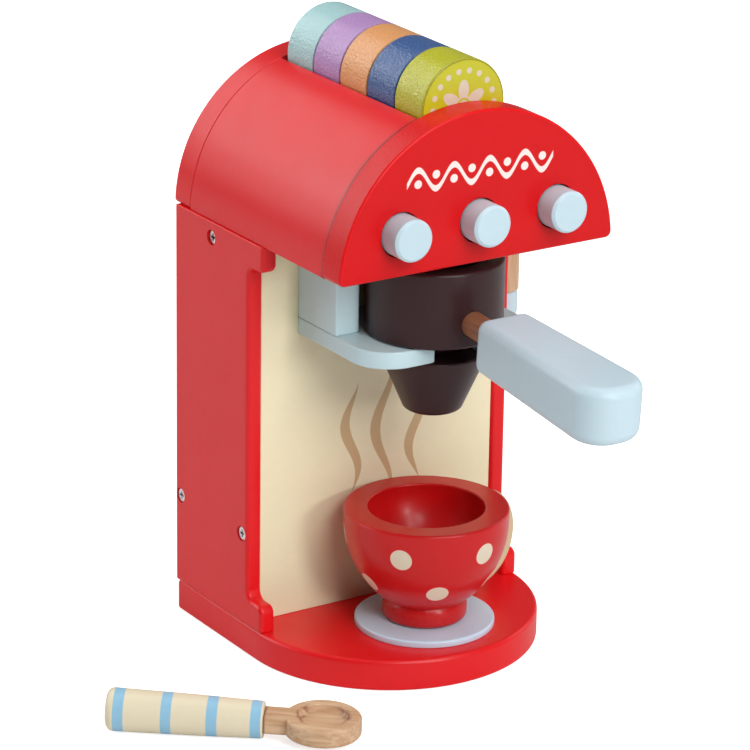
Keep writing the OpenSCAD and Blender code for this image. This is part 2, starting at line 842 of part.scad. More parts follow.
module spoon_scoop() {
  middle = grip_l + scoop_out;
  ball_r = (dish_r * dish_r + dish_d * dish_d) / (2 * dish_d);
  color(birch) along_spoon() difference() {
    union() {
      translate([middle, 0, -scoop_t / 2]) round_disc(scoop_r, scoop_t, edge_r);
      translate([grip_l, -scoop_neck_w / 2, -scoop_t / 2]) cube([scoop_out, scoop_neck_w, scoop_t]);
      translate([grip_l - tenon_l, 0, 0]) rotate([0, 90, 0]) cylinder(r = scoop_t / 2, h = tenon_l + over);
    }
    translate([middle, 0, scoop_t / 2 - dish_d + ball_r]) sphere(r = ball_r);
  }
}

module spoon_handle() {
  color(cream) along_spoon() difference() {
    rotate([0, 90, 0]) rotate_extrude() {
      square([grip_r0 - grip_end_r, grip_l / 2]);
      translate([grip_r0 - grip_end_r, grip_end_r]) circle(r = grip_end_r);
      polygon([
        [0, grip_end_r], [grip_r0, grip_end_r], [grip_mid_r, grip_l / 2],
        [grip_r1, grip_l - thin_edge_r], [grip_r1 - thin_edge_r, grip_l], [0, grip_l]
      ]);
    }
    translate([grip_l - tenon_l - peg_gap, 0, 0]) rotate([0, 90, 0])
      cylinder(r = scoop_t / 2 + peg_gap, h = tenon_l + over);
  }
}

// ---------- screws ----------

module side_screws(side) {
  color(steel) at_side_screws(side) screw(shank_l);
}

module base_screws() {
  color(steel) at_base_screws() screw(shank_l);
}

module housing_screws() {
  color(steel) at_housing_screws() screw(housing_screw_l);
}

// ---------- nodes ----------

base_board();
side_panel(-1);  // side_panel_left
side_panel(1);  // side_panel_right
front_panel();
back_panel();
top_shelf();
housing_floor();
roof_back_board();
face_plate();
roof_panel(-1);  // roof_panel_left
roof_panel(1);  // roof_panel_right
pod_trough();
spring_rail();
hanger(-1);  // hanger_left
hanger(1);  // hanger_right
holder_fork();
drip_disc();
side_screws(-1);  // side_screws_left
side_screws(1);  // side_screws_right
base_screws();
housing_screws();
button(-1);  // button_left
button(0);  // button_centre
button(1);  // button_right
spring(-1);  // spring_left
spring(0);  // spring_centre
spring(1);  // spring_right
filter_neck();
filter_core();
filter_head();
filter_spout();
filter_dowel();
filter_handle();
cup_body();
cup_handle();
pod(1, "#a5d4d7");  // pod_1
pod(2, "#c39bcd");  // pod_2
pod(3, "#eba055");  // pod_3
pod(4, "#3c69af");  // pod_4
pod(5, "#c8c81e");  // pod_5
wand_arm();
wand_nozzle();
wand_pivot();
wand_washer();
spoon_scoop();
spoon_handle();
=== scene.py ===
"""Wooden toy coffee maker: rounded painted boards, turned pieces, their finishes and a studio stage.

Run as a script: it loads the construction frame, makes one piece after the other round it and
leaves a panel in the 3D view's sidebar that makes each piece again.
"""

import json
import math
from contextlib import contextmanager

import bmesh
import bpy
from mathutils import Matrix, Vector

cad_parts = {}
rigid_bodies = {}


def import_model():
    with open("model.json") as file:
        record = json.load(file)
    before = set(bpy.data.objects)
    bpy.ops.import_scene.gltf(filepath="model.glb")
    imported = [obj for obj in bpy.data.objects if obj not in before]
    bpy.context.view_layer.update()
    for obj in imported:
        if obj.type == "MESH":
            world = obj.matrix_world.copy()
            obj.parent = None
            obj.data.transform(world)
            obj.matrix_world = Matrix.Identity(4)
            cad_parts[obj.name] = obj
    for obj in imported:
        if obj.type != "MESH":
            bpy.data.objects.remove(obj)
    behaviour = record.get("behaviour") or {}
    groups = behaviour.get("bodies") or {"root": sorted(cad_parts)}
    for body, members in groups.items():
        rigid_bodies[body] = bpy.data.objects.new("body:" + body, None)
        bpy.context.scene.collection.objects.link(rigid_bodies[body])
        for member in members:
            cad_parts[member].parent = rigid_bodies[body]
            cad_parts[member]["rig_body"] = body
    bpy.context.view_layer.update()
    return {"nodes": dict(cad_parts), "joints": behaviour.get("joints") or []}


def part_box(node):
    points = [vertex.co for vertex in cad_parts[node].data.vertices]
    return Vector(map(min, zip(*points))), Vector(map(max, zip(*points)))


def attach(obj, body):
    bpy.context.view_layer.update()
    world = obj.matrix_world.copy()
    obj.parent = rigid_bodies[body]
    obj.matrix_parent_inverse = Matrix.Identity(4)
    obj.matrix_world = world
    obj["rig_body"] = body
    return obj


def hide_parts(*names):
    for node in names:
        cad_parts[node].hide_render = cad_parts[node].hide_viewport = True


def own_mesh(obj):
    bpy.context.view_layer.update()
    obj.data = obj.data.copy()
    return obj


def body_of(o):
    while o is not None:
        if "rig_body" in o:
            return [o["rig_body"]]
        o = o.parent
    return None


bl_info = {
    "name": "Toy coffee maker",
    "version": (1, 0, 0),
    "blender": (4, 5, 0),
    "location": "3D View > Sidebar > Toy coffee maker",
    "description": "Makes the painted wooden pieces of a toy coffee maker round its construction frame",
    "category": "Add Mesh",
}

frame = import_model()

MM = 0.001
ALONG_X = Vector((1, 0, 0))
ALONG_Y = Vector((0, 1, 0))
ALONG_Z = Vector((0, 0, 1))
OVER = 1 * MM  # how far a cutting shape reaches past what it cuts
PEG_GAP = 0.05 * MM  # room round a peg
HOLE_ROOM = 0.1 * MM  # room round a dowel or a pivot
POLE_R = 0.4 * MM  # radius of the flat in the middle of a turned end
DOWEL_IN_HEAD = 7 * MM
DOWEL_HOLE_L = 12 * MM
DOWEL_IN_HANDLE = 24 * MM
HANDLE_HOLE_L = 24.1 * MM
CORE_IN_HEAD = 9 * MM
CORE_IN_SPOUT = 8.1 * MM
CROSS_REACH = 0.52  # half the length of a screw's cross, as a share of its head's radius
TURNED_SIDES = 144
ARCH_SIDES = 256
FLOOR_R = 12
AIM = (0, 0, 0.12)  # what every lamp looks at
SOFTBOXES = (  # name, place, width, height
    ("low", (0.25, -2.1, 0.65), 0.4, 0.4),
    ("front", (-0.2, -1.9, 1.4), 1.2, 0.8),
    ("upper", (0.3, -1.2, 1.9), 1.2, 1.0),
    ("top", (0.1, 0.1, 2.0), 1.4, 1.4),
    ("rear", (-0.6, 1.5, 1.1), 1.4, 1.0),
    ("left", (-1.5, 1.2, 0.8), 1.2, 1.0),
    ("right", (2.0, 0.0, 0.9), 1.0, 1.0),
)


# ---------- properties ----------


def linear(red, green, blue):
    """The linear colour of a display colour given from 0 to 255."""
    parts = (channel / 255 for channel in (red, green, blue))
    return tuple(p / 12.92 if p <= 0.04045 else ((p + 0.055) / 1.055) ** 2.4 for p in parts)


def length(name, description, millimetres):
    return bpy.props.FloatProperty(
        name=name, description=description, default=millimetres * MM, min=0, precision=5,
        subtype="DISTANCE", unit="LENGTH",
    )


def turn(name, description, degrees):
    return bpy.props.FloatProperty(
        name=name, description=description, default=math.radians(degrees), subtype="ANGLE", unit="ROTATION",
    )


def share(name, description, value, most):
    return bpy.props.FloatProperty(
        name=name, description=description, default=value, min=0, max=most, subtype="FACTOR",
    )


def watts(name, description, power):
    return bpy.props.FloatProperty(name=name, description=description, default=power, min=0, unit="POWER")


def colour(name, description, red, green, blue):
    return bpy.props.FloatVectorProperty(
        name=name, description=description, default=linear(red, green, blue), min=0, max=1, size=3,
        subtype="COLOR",
    )


class BoardSizes(bpy.types.PropertyGroup):
    edge_r: length("Edge radius", "Radius of the edges of thick boards", 1.9)
    seam_edge_r: length("Seam edge radius", "Radius of edges that meet another board", 0.45)
    roof_front_r: length("Roof front radius", "Radius of the roof panels' edge behind the face plate", 2.4)
    face_edge_r: length("Face edge radius", "Radius of the face plate's front edge", 1.1)
    face_corner_r: length("Face corner radius", "Radius of the lower corners of the face plate", 3)
    rim_back_r: length("Rim back radius", "Radius of the face plate's edge towards the roof", 0.4)
    foot_edge_r: length("Bottom edge radius", "Radius of the base board's lower edge", 1.4)
    base_corner_r: length("Base corner radius", "Radius of the base board's back corners", 2.5)
    tab_reach: length("Tab reach", "How far the side panels' tabs and feet stand forward", 11.2)
    tab_h: length("Tab height", "Height of a tab and of a foot", 11.5)
    tab_corner_r: length("Tab corner radius", "Radius of the outer corner of a tab", 3.5)
    tab_hollow_r: length("Tab hollow radius", "Radius of the hollow between a tab and the edge", 4)
    roof_drop: length("Roof axis drop", "How far the vault's axis lies below the case's top", 1.3)
    roof_wall: length("Roof wall", "Thickness of the curved roof panels", 6)
    face_drop: length("Face axis drop", "How far the face plate's axis lies below its lower edge", 2.5)
    arch_corner_r: length("Arch corner radius", "Radius of the lower corners of the back board", 1.8)
    fork_edge_r: length("Fork edge radius", "Radius of the edges of the fork and its hangers", 0.7)
    fork_corner_r: length("Fork corner radius", "Radius of the fork's front corners", 17)
    fork_slot_r: length("Fork slot radius", "Half the width of the fork's slot", 11.2)
    fork_lip: length("Fork lip", "How far the fork reaches ahead of the filter's axis", 18)


class ButtonSizes(bpy.types.PropertyGroup):
    cap_r: length("Cap radius", "Radius of a button's cap", 8.75)
    hole_r: length("Hole radius", "Radius of a button's hole in the face plate", 9.35)
    hole_edge_r: length("Hole edge radius", "Radius of the edge of that hole", 0.5)
    chamfer: length("Chamfer", "Chamfer round the front of a cap", 1.1)
    edge_r: length("Edge radius", "Radius of a cap's edges", 0.15)
    collar_t: length("Collar thickness", "Thickness of the collar behind the face plate", 3)
    collar_back: length("Collar place", "Distance from the origin forward to the collar's front", 51.1)
    pin_r: length("Pin radius", "Radius of the guide pin", 3)
    wire_r: length("Wire radius", "Radius of the spring's wire", 0.45)
    spring_turns: bpy.props.IntProperty(
        name="Spring turns", description="Turns of a button's spring", default=5, min=2,
    )


class FilterSizes(bpy.types.PropertyGroup):
    head_edge_r: length("Head edge radius", "Radius of the head's edges", 1.5)
    bowl_r: length("Bowl radius", "Radius of the head's bowl", 20.1)
    bowl_edge_r: length("Bowl edge radius", "Radius of the edge of the head's bowl", 1.5)
    bowl_d: length("Bowl depth", "Depth of the head's bowl", 20.5)
    tip_r: length("Tip radius", "Radius of the spout's lower end", 11.9)
    tip_edge_r: length("Tip edge radius", "Radius of the spout's lower edge", 3)
    dowel_r: length("Dowel radius", "Radius of the handle's dowel", 5.3)
    axis_z: length("Handle height", "Height of the handle's axis at the filter's axis", 158.8)
    handle_tilt: turn("Handle tilt", "How far the handle points down", 4)
    handle_start: length("Handle start", "Distance from the filter's axis to the handle", 46.9)
    handle_l: length("Handle length", "Length of the handle", 84.93)
    inner_w: length("Inner width", "Width of the handle at its inner end", 25)
    outer_w: length("Outer width", "Width of the handle at its outer end", 31.2)
    inner_t: length("Inner thickness", "Thickness of the handle at its inner end", 22.9)
    outer_t: length("Outer thickness", "Thickness of the handle at its outer end", 24.5)
    handle_edge_r: length("Handle edge radius", "Radius of the handle's long edges", 4.6)
    handle_corner_r: length("Handle corner radius", "Radius of the handle's outer corners", 14)


class CupSizes(bpy.types.PropertyGroup):
    foot_r: length("Foot radius", "Radius of the cup's foot", 17.9)
    foot_h: length("Foot height", "Height of the cup's foot", 9.6)
    foot_edge_r: length("Foot edge radius", "Radius of the foot's lower edge", 2.6)
    waist_r: length("Waist radius", "Radius of the waist over the foot", 16.6)
    rim_h: length("Rim height", "Height of the upright band at the rim", 5)
    rim_edge_r: length("Rim edge radius", "Radius of the rim's outer edge", 1.1)
    curve_r: length("Bowl curve radius", "Radius of the bowl's outer curve", 44.8)
    hollow_r: length("Hollow radius", "Radius of the hollow", 24.6)
    hollow_h: length("Hollow wall", "Depth of the straight part of the hollow", 3)
    loop_r: length("Handle radius", "Outer radius of the ring handle", 21.5)
    loop_hole_r: length("Finger hole radius", "Radius of the hole in the ring handle", 12.5)
    loop_t: length("Handle thickness", "Thickness of the ring handle", 8)
    loop_edge_r: length("Handle edge radius", "Radius of the ring handle's edges", 3.4)
    loop_out: length("Handle reach", "Distance from the cup's axis to the handle's middle", 34)
    loop_z: length("Handle lift", "Height of the handle's middle over the cup's foot", 24.5)
    loop_turn: turn("Handle turn", "Turn of the handle from straight right to the back", 16)
    dot_r: length("Dot radius", "Radius of the painted dots", 4.7)


class WandSizes(bpy.types.PropertyGroup):
    edge_r: length("Edge radius", "Radius of the wand's upper edge", 2)
    tip_edge_r: length("Tip edge radius", "Radius of the nozzle's lower edge", 3)
    peg_r: length("Peg radius", "Radius of the nozzle's peg in the wand", 3.5)
    peg_l: length("Peg length", "Length of the nozzle's peg", 8)


class SpoonSizes(bpy.types.PropertyGroup):
    end_x: length("Handle end, left", "Distance of the handle's free end to the left", 151.3)
    end_y: length("Handle end, front", "Distance of the handle's free end to the front", 28)
    end_z: length("Handle end, height", "Height of the handle's axis at its free end", 9.14)
    turned: turn("Turn", "Turn of the spoon from right to the front", 38)
    slope: turn("Slope", "Downward slope of the spoon's axis", 1.2)
    grip_l: length("Handle length", "Length of the handle", 63.9)
    grip_r0: length("End radius", "Radius of the handle near its free end", 8.85)
    grip_mid_r: length("Middle radius", "Radius of the handle a little past its middle", 8.3)
    grip_mid_l: length("Middle place", "Distance from the free end to that radius", 38)
    grip_r1: length("Inner radius", "Radius of the handle at its inner end", 7.6)
    grip_end_r: length("End rounding", "Radius of the handle's round free end", 3)
    scoop_t: length("Bowl thickness", "Thickness of the bowl board", 7.9)
    scoop_r: length("Bowl radius", "Radius of the round bowl", 15.7)
    scoop_out: length("Bowl reach", "Distance from the handle to the bowl's middle", 23.8)
    scoop_edge_r: length("Bowl edge radius", "Radius of the bowl board's edges", 1.5)
    neck_w: length("Neck width", "Width of the neck", 11.8)
    dish_r: length("Dish radius", "Radius of the dish", 10.4)
    dish_d: length("Dish depth", "Depth of the dish", 2.6)
    dish_wall_r: length("Dish wall radius", "Radius between the dish's wall and its floor", 1.9)
    tenon_l: length("Tenon length", "Length of the tenon in the handle", 12)


class ScrewSizes(bpy.types.PropertyGroup):
    head_r: length("Head radius", "Radius of a screw's head", 3.1)
    head_t: length("Head thickness", "Thickness of a screw's head", 1.8)
    shank_r: length("Shank radius", "Radius of a screw's shank", 1.6)
    room: length("Room", "Room round a head in its hole", 0.2)
    sunk: length("Sunk", "How far a head lies in its hole, beyond its construction place", 0.5)
    low_sunk: length("Lower sunk", "The same for the lower two screws of a side", 0.1)
    cross_w: length("Cross width", "Width of the cross in a head", 1.1)
    cross_d: length("Cross depth", "Depth of the cross in a head", 0.9)


class PaintColours(bpy.types.PropertyGroup):
    red: colour("Red", "Paint of the case and the housing", 233, 20, 27)
    # Painted shade: a darker copy of the case's red, for the front-lit face plate.
    face_red_shaded: colour("Face red", "Paint of the face plate", 208, 9, 15)
    cream: colour("Cream", "Paint of the spoon's handle", 236, 224, 194)
    panel_cream: colour("Panel cream", "Paint of the front panel", 250, 241, 204)
    # Painted shade: a darker, less red cream at the front panel's foot.
    panel_low: colour(
        "Low panel cream", "The same paint at the panel's foot, where the red base tints it", 232, 233, 196,
    )
    tan: colour("Tan", "Paint of the cup's handle", 216, 192, 152)
    cup_red: colour("Cup red", "Paint of the cup", 208, 16, 19)
    sky: colour("Pale blue", "Paint of the buttons, the nozzle and the handle", 199, 222, 232)
    holder_blue: colour("Holder blue", "Paint of the fork and its hangers", 199, 225, 231)
    disc_blue: colour("Disc blue", "Paint of the drip disc", 206, 230, 248)
    stripe_blue: colour("Stripe blue", "Stripes of the spoon's handle", 150, 200, 228)
    brown: colour("Brown", "Paint of the filter", 54, 29, 31)
    teal: colour("Teal", "Paint of the first pod", 178, 220, 222)
    lilac: colour("Lilac", "Paint of the second pod", 190, 146, 205)
    orange: colour("Orange", "Paint of the third pod", 238, 166, 102)
    blue: colour("Blue", "Paint of the fourth pod", 50, 92, 152)
    green: colour("Green", "Paint of the fifth pod", 196, 196, 24)
    print_cream: colour("Printed cream", "Ornaments on the cup", 232, 218, 194)
    print_pale: colour("Printed pale", "Ornaments on the pods", 216, 208, 186)
    print_edge: colour("Printed edge", "Edge of the dots on the cup", 244, 214, 196)
    print_white: colour("Printed white", "Ornament on the face plate", 250, 226, 220)
    print_tan: colour("Printed tan", "Ornament on the cream panel", 214, 184, 138)
    beech: colour("Beech", "Light tone of the bare wood", 226, 193, 158)
    beech_dark: colour("Beech grain", "Dark tone of the bare wood", 190, 145, 106)
    # Dark colour of torn end grain, also used as painted shade in the spoon's joint.
    torn_grain_and_joint_shade: colour("Torn grain", "Dark marks on the dish's wall and at the spoon's joint", 136, 84, 72)
    dowel: colour("Dowel wood", "Light tone of the dowel in the handle", 176, 120, 86)
    dowel_dark: colour("Dowel grain", "Dark tone of the dowel in the handle", 136, 84, 60)


class StageSettings(bpy.types.PropertyGroup):
    camera_place: bpy.props.FloatVectorProperty(
        name="Camera place", description="Where the camera stands", default=(-0.85862, -1.30994, 0.68640),
        size=3, subtype="TRANSLATION", unit="LENGTH",
    )
    azimuth: turn("Azimuth", "Camera's turn round the object", -33.04)
    elevation: turn("Elevation", "Camera's height over the horizon", 20.03)
    roll: turn("Roll", "Camera's turn about its own axis", 0.9)
    lens: bpy.props.FloatProperty(
        name="Lens", description="Focal length in millimetres", default=190.92, min=1, unit="CAMERA",
    )
    low_power: watts("Low power", "Power of the softbox low in front", 10)
    front_power: watts("Front power", "Power of the softbox in front", 21.5)
    upper_power: watts("Upper power", "Power of the softbox high in front", 11.5)
    top_power: watts("Top power", "Power of the softbox overhead", 9.6)
    rear_power: watts("Rear power", "Power of the softbox behind on the left", 10)
    left_power: watts("Left power", "Power of the softbox on the left", 11.5)
    right_power: watts("Right power", "Power of the softbox on the right", 5.6)
    sky_light: share("Sky light", "Brightness of the surroundings on the object", 0.02, 2)
    sky_gloss: share("Sky gloss", "Brightness of the surroundings in reflections", 0.18, 2)


class ToySettings(bpy.types.PropertyGroup):
    boards: bpy.props.PointerProperty(type=BoardSizes, name="Boards", description="Sizes of the boards")
    buttons: bpy.props.PointerProperty(type=ButtonSizes, name="Buttons", description="Sizes of the buttons")
    filter: bpy.props.PointerProperty(type=FilterSizes, name="Filter", description="Sizes of the filter")
    cup: bpy.props.PointerProperty(type=CupSizes, name="Cup", description="Sizes of the cup")
    wand: bpy.props.PointerProperty(type=WandSizes, name="Wand", description="Sizes of the wand")
    spoon: bpy.props.PointerProperty(type=SpoonSizes, name="Spoon", description="Sizes of the spoon")
    screws: bpy.props.PointerProperty(type=ScrewSizes, name="Screws", description="Sizes of the screws")
    paints: bpy.props.PointerProperty(
        type=PaintColours, name="Colours", description="Colours of the finishes",
    )
    stage: bpy.props.PointerProperty(type=StageSettings, name="Stage", description="Camera and lights")


# ---------- modelling ----------


def only(piece):
    """Selects this piece alone and makes it the active one."""
    bpy.ops.object.select_all(action="DESELECT")
    piece.select_set(True)
    bpy.context.view_layer.objects.active = piece


def new_piece(name):
    """Names the primitive that was just added."""
    piece = bpy.context.active_object
    piece.name = name
    piece.data.name = name
    return piece


def settle(piece, matrix=None):
    """Puts a piece's place into its mesh, so that its object lies at the origin."""
    only(piece)
    if matrix is not None:
        piece.matrix_world = matrix @ piece.matrix_world
    bpy.ops.object.transform_apply(location=True, rotation=True, scale=True)
    return piece


@contextmanager
def editing(piece):
    """Edit mode on one piece."""
    only(piece)
    bpy.ops.object.mode_set(mode="EDIT")
    yield
    bpy.ops.object.mode_set(mode="OBJECT")


def pick(piece, kind, test):
    """In edit mode, selects the faces, edges or vertices that pass the test, and nothing else."""
    bpy.ops.mesh.select_mode(type=kind)
    bpy.ops.mesh.select_all(action="DESELECT")
    mesh = bmesh.from_edit_mesh(piece.data)
    for part in {"FACE": mesh.faces, "EDGE": mesh.edges, "VERT": mesh.verts}[kind]:
        if test(part):
            part.select_set(True)
    mesh.select_flush_mode()
    bmesh.update_edit_mesh(piece.data)


def middle(edge):
    return (edge.verts[0].co + edge.verts[1].co) / 2


def runs_along(edge, axis):
    way = edge.verts[1].co - edge.verts[0].co
    return way.length > 0 and abs(way.normalized().dot(axis)) > 0.999


def near(a, b):
    return abs(a - b) < 0.05 * MM


def sharp(edge, degrees=38):
    return edge.calc_face_angle(0) > math.radians(degrees)


def round_off(piece, radius, segments, test):
    """Rounds the edges that pass the test."""
    with editing(piece):
        pick(piece, "EDGE", test)
        bpy.ops.mesh.bevel(
            offset=radius, segments=segments, profile=0.5, affect="EDGES", miter_outer="ARC",
            clamp_overlap=True,
        )


def modify(piece, kind, **settings):
    """Adds a modifier with these settings and applies it."""
    only(piece)
    bpy.ops.object.modifier_add(type=kind)
    modifier = piece.modifiers[-1]
    for key, value in settings.items():
        setattr(modifier, key, value)
    bpy.ops.object.modifier_apply(modifier=modifier.name)


def merge_flats(piece):
    """Takes away the edges inside flat faces."""
    with editing(piece):
        bpy.ops.mesh.select_all(action="SELECT")
        bpy.ops.mesh.dissolve_limited(angle_limit=math.radians(0.2))


def straighten(piece, axis, level, reach):
    """Makes one straight facet of the narrow ones within reach of a cut at this level along an axis."""
    def in_reach(edge):
        away = [abs(corner.co.dot(axis) - level) for corner in edge.verts]
        beside_cut = 0.01 * MM < min(away) and max(away) < reach
        return beside_cut and not sharp(edge, 10) and runs_along(edge, ALONG_Y)

    with editing(piece):
        pick(piece, "EDGE", in_reach)
        bpy.ops.mesh.dissolve_edges(use_verts=True)


def soften(piece, radius, segments=4, sharper_than=38):
    """Rounds all edges that turn by more than an angle in degrees."""
    merge_flats(piece)
    modify(
        piece, "BEVEL", width=radius, segments=segments, limit_method="ANGLE",
        angle_limit=math.radians(sharper_than), miter_outer="MITER_ARC", use_clamp_overlap=True,
    )


def combine(piece, other, how="DIFFERENCE"):
    """Cuts the other shape out of the piece, or joins it on, and takes the other away."""
    modify(piece, "BOOLEAN", operation=how, solver="EXACT", object=other)
    bpy.data.objects.remove(other)


def block(name, low, high):
    """A block between two corners."""
    low, high = Vector(low), Vector(high)
    bpy.ops.object.select_all(action="DESELECT")
    bpy.ops.mesh.primitive_cube_add(size=1, location=(low + high) / 2, scale=high - low)
    return settle(new_piece(name))


def rod(name, start, axis, radius, reach, sides=TURNED_SIDES):
    """A cylinder from a point along an axis."""
    turned_to = ALONG_Z.rotation_difference(axis).to_euler()
    bpy.ops.object.select_all(action="DESELECT")
    bpy.ops.mesh.primitive_cylinder_add(
        vertices=sides, radius=radius, depth=reach, location=Vector(start) + axis * reach / 2,
        rotation=turned_to,
    )
    return settle(new_piece(name))


def slice_off(piece, point, normal):
    """Cuts away what lies beyond a plane and closes the cut."""
    with editing(piece):
        bpy.ops.mesh.select_all(action="SELECT")
        bpy.ops.mesh.bisect(plane_co=point, plane_no=normal, clear_outer=True, use_fill=True)


def score(piece, point, normal):
    """Cuts the faces along a plane and keeps both halves."""
    with editing(piece):
        bpy.ops.mesh.select_all(action="SELECT")
        bpy.ops.mesh.bisect(plane_co=point, plane_no=normal)


def pull(piece, test, way):
    """Extrudes the faces that pass the test."""
    with editing(piece):
        pick(piece, "FACE", test)
        bpy.ops.mesh.extrude_region_move(TRANSFORM_OT_translate={"value": way})


def arc(centre, radius, start, end, steps):
    """Points (radius, height) of an arc round centre, between two angles in degrees from outwards to up."""
    turns = (math.radians(start + (end - start) * k / steps) for k in range(steps + 1))
    return [(centre[0] + radius * math.cos(t), centre[1] + radius * math.sin(t)) for t in turns]


def turned(name, outline, matrix=Matrix(), sides=TURNED_SIDES):
    """A turned piece along +Z.

    The outline is a list of (radius, height), from the first end's middle to the last's.
    """
    (radius, height), *rest = outline
    bpy.ops.object.select_all(action="DESELECT")
    bpy.ops.mesh.primitive_circle_add(
        vertices=sides, radius=radius, fill_type="NGON", location=(0, 0, height),
    )
    piece = settle(new_piece(name))
    with editing(piece):
        bpy.ops.mesh.select_mode(type="FACE")
        bpy.ops.mesh.select_all(action="SELECT")
        for next_radius, next_height in rest:
            bpy.ops.mesh.extrude_region_move(TRANSFORM_OT_translate={"value": (0, 0, next_height - height)})
            grow = next_radius / radius
            bpy.ops.transform.resize(value=(grow, grow, 1), center_override=(0, 0, next_height))
            radius, height = next_radius, next_height
        bpy.ops.mesh.select_all(action="SELECT")
        bpy.ops.mesh.normals_make_consistent(inside=False)
    return settle(piece, matrix)


def copy_of(piece, name, shift):
    """A copy with its own mesh, moved by shift."""
    twin = piece.copy()
    twin.data = piece.data.copy()
    twin.name = name
    twin.data.name = name
    bpy.context.scene.collection.objects.link(twin)
    twin.data.transform(Matrix.Translation(shift))
    return twin


def dress(piece, node, material, smooth=40):
    """Shades a piece, gives it its material, and lets it stand for its construction node."""
    only(piece)
    bpy.ops.object.shade_smooth_by_angle(angle=math.radians(smooth))
    modify(piece, "WEIGHTED_NORMAL", keep_sharp=True, weight=50)
    piece.data.materials.clear()
    piece.data.materials.append(material)
    body = body_of(frame["nodes"][node])[0]
    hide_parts(node)
    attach(piece, body)
    return piece


def clothe(node, material):
    """Gives a construction node that stays its material."""
    mesh = frame["nodes"][node].data
    mesh.materials.clear()
    mesh.materials.append(material)


# ---------- finishes ----------


class Field:
    """A value that varies over a surface. Sums, products and the like make Math nodes."""

    def __init__(self, tree, socket):
        self.tree = tree
        self.socket = socket

    def math(self, operation, *others, clamp=False):
        node = self.tree.nodes.new("ShaderNodeMath")
        node.operation = operation
        node.use_clamp = clamp
        for slot, value in zip(node.inputs, (self, *others)):
            plug(self.tree, slot, value)
        return Field(self.tree, node.outputs[0])

    def __add__(self, other):
        return self.math("ADD", other)

    def __sub__(self, other):
        return self.math("SUBTRACT", other)

    def __mul__(self, other):
        return self.math("MULTIPLY", other)

    def __truediv__(self, other):
        return self.math("DIVIDE", other)

    def size(self):
        return self.math("ABSOLUTE")

    def sine(self):
        return self.math("SINE")

    def least(self, other):
        return self.math("MINIMUM", other)

    def most(self, other):
        return self.math("MAXIMUM", other)

    def below(self, limit, soft):
        """1 where the value is below the limit, 0 above, over a soft edge."""
        edge = limit - soft / 2 if not isinstance(limit, Field) else limit
        return (self - edge).math("DIVIDE", -soft).math("ADD", 1, clamp=True)


def plug(tree, slot, value):
    """Puts a number or a colour on a socket, or links a field to it."""
    if isinstance(value, Field):
        tree.links.new(value.socket, slot)
    else:
        slot.default_value = value


def solid(paint):
    return (*paint, 1.0)


class Finish:
    """A material with one Principled shader that is painted from the piece's own coordinates."""

    def __init__(self, name, gloss):
        self.material = bpy.data.materials.new(name)
        self.material.use_nodes = True
        self.tree = self.material.node_tree
        self.shader = self.tree.nodes["Principled BSDF"]
        self.place = Field(self.tree, self.add("ShaderNodeTexCoord").outputs["Object"])
        for socket, value in gloss.items():
            self.shader.inputs[socket].default_value = value

    def add(self, kind, **settings):
        node = self.tree.nodes.new(kind)
        for key, value in settings.items():
            setattr(node, key, value)
        return node

    def set(self, socket, value):
        plug(self.tree, self.shader.inputs[socket], value)

    def moved(self, place=(0, 0, 0), rotation=(0, 0, 0), scale=(1, 1, 1)):
        """Coordinates seen from a place that is turned by rotation, then stretched by scale."""
        texture = self.add("ShaderNodeMapping", vector_type="TEXTURE")
        plug(self.tree, texture.inputs["Vector"], self.place)
        plug(self.tree, texture.inputs["Location"], place)
        plug(self.tree, texture.inputs["Rotation"], rotation)
        plug(self.tree, texture.inputs["Scale"], tuple(1 / s for s in scale))
        return Field(self.tree, texture.outputs[0])

    def axes(self, field):
        parts = self.add("ShaderNodeSeparateXYZ")
        plug(self.tree, parts.inputs[0], field)
        return [Field(self.tree, part) for part in parts.outputs]

    def noise(self, grain_size, detail, field=None, rough=0.5):
        """Noise whose blotches are about this long, from 0 to 1 with 0.5 in the middle."""
        texture = self.add("ShaderNodeTexNoise")
        plug(self.tree, texture.inputs["Vector"], field or self.place)
        plug(self.tree, texture.inputs["Scale"], 0.6 / grain_size)
        plug(self.tree, texture.inputs["Detail"], detail)
        plug(self.tree, texture.inputs["Roughness"], rough)
        return Field(self.tree, texture.outputs["Fac"])

    def cells(self, grain_size):
        """Smooth dimples of about this size: 0 in the middle of a cell and rising outwards."""
        texture = self.add("ShaderNodeTexVoronoi", feature="SMOOTH_F1")
        plug(self.tree, texture.inputs["Vector"], self.place)
        plug(self.tree, texture.inputs["Scale"], 1 / grain_size)
        plug(self.tree, texture.inputs["Smoothness"], 0.4)
        return Field(self.tree, texture.outputs["Distance"])

    def mix(self, factor, first, second):
        blend = self.add("ShaderNodeMix", data_type="RGBA")
        plug(self.tree, blend.inputs["Factor"], factor)
        plug(self.tree, blend.inputs[6], first)
        plug(self.tree, blend.inputs[7], second)
        return Field(self.tree, blend.outputs[2])

    def shade(self, paint, brightness):
        """A colour made lighter and darker by a field round 1."""
        tone = self.add("ShaderNodeHueSaturation")
        plug(self.tree, tone.inputs["Value"], brightness)
        plug(self.tree, tone.inputs["Color"], paint)
        return Field(self.tree, tone.outputs[0])

    def distance(self, point):
        measure = self.add("ShaderNodeVectorMath", operation="DISTANCE")
        plug(self.tree, measure.inputs[0], self.place)
        plug(self.tree, measure.inputs[1], point)
        return Field(self.tree, measure.outputs["Value"])

    def bump(self, height, depth):
        """Relief of a height field from 0 to 1, this deep."""
        relief = self.add("ShaderNodeBump")
        relief.inputs["Strength"].default_value = 1.0
        relief.inputs["Distance"].default_value = depth
        plug(self.tree, relief.inputs["Height"], height)
        self.set("Normal", Field(self.tree, relief.outputs[0]))


def base_tone(finish, spread=0.07):
    """Slow and fine changes of brightness, as brushed and sprayed paint has."""
    slow = finish.noise(28 * MM, 2)
    fine = finish.noise(2.2 * MM, 3)
    return slow * spread + fine * (spread * 0.6) + (1 - spread * 0.8)


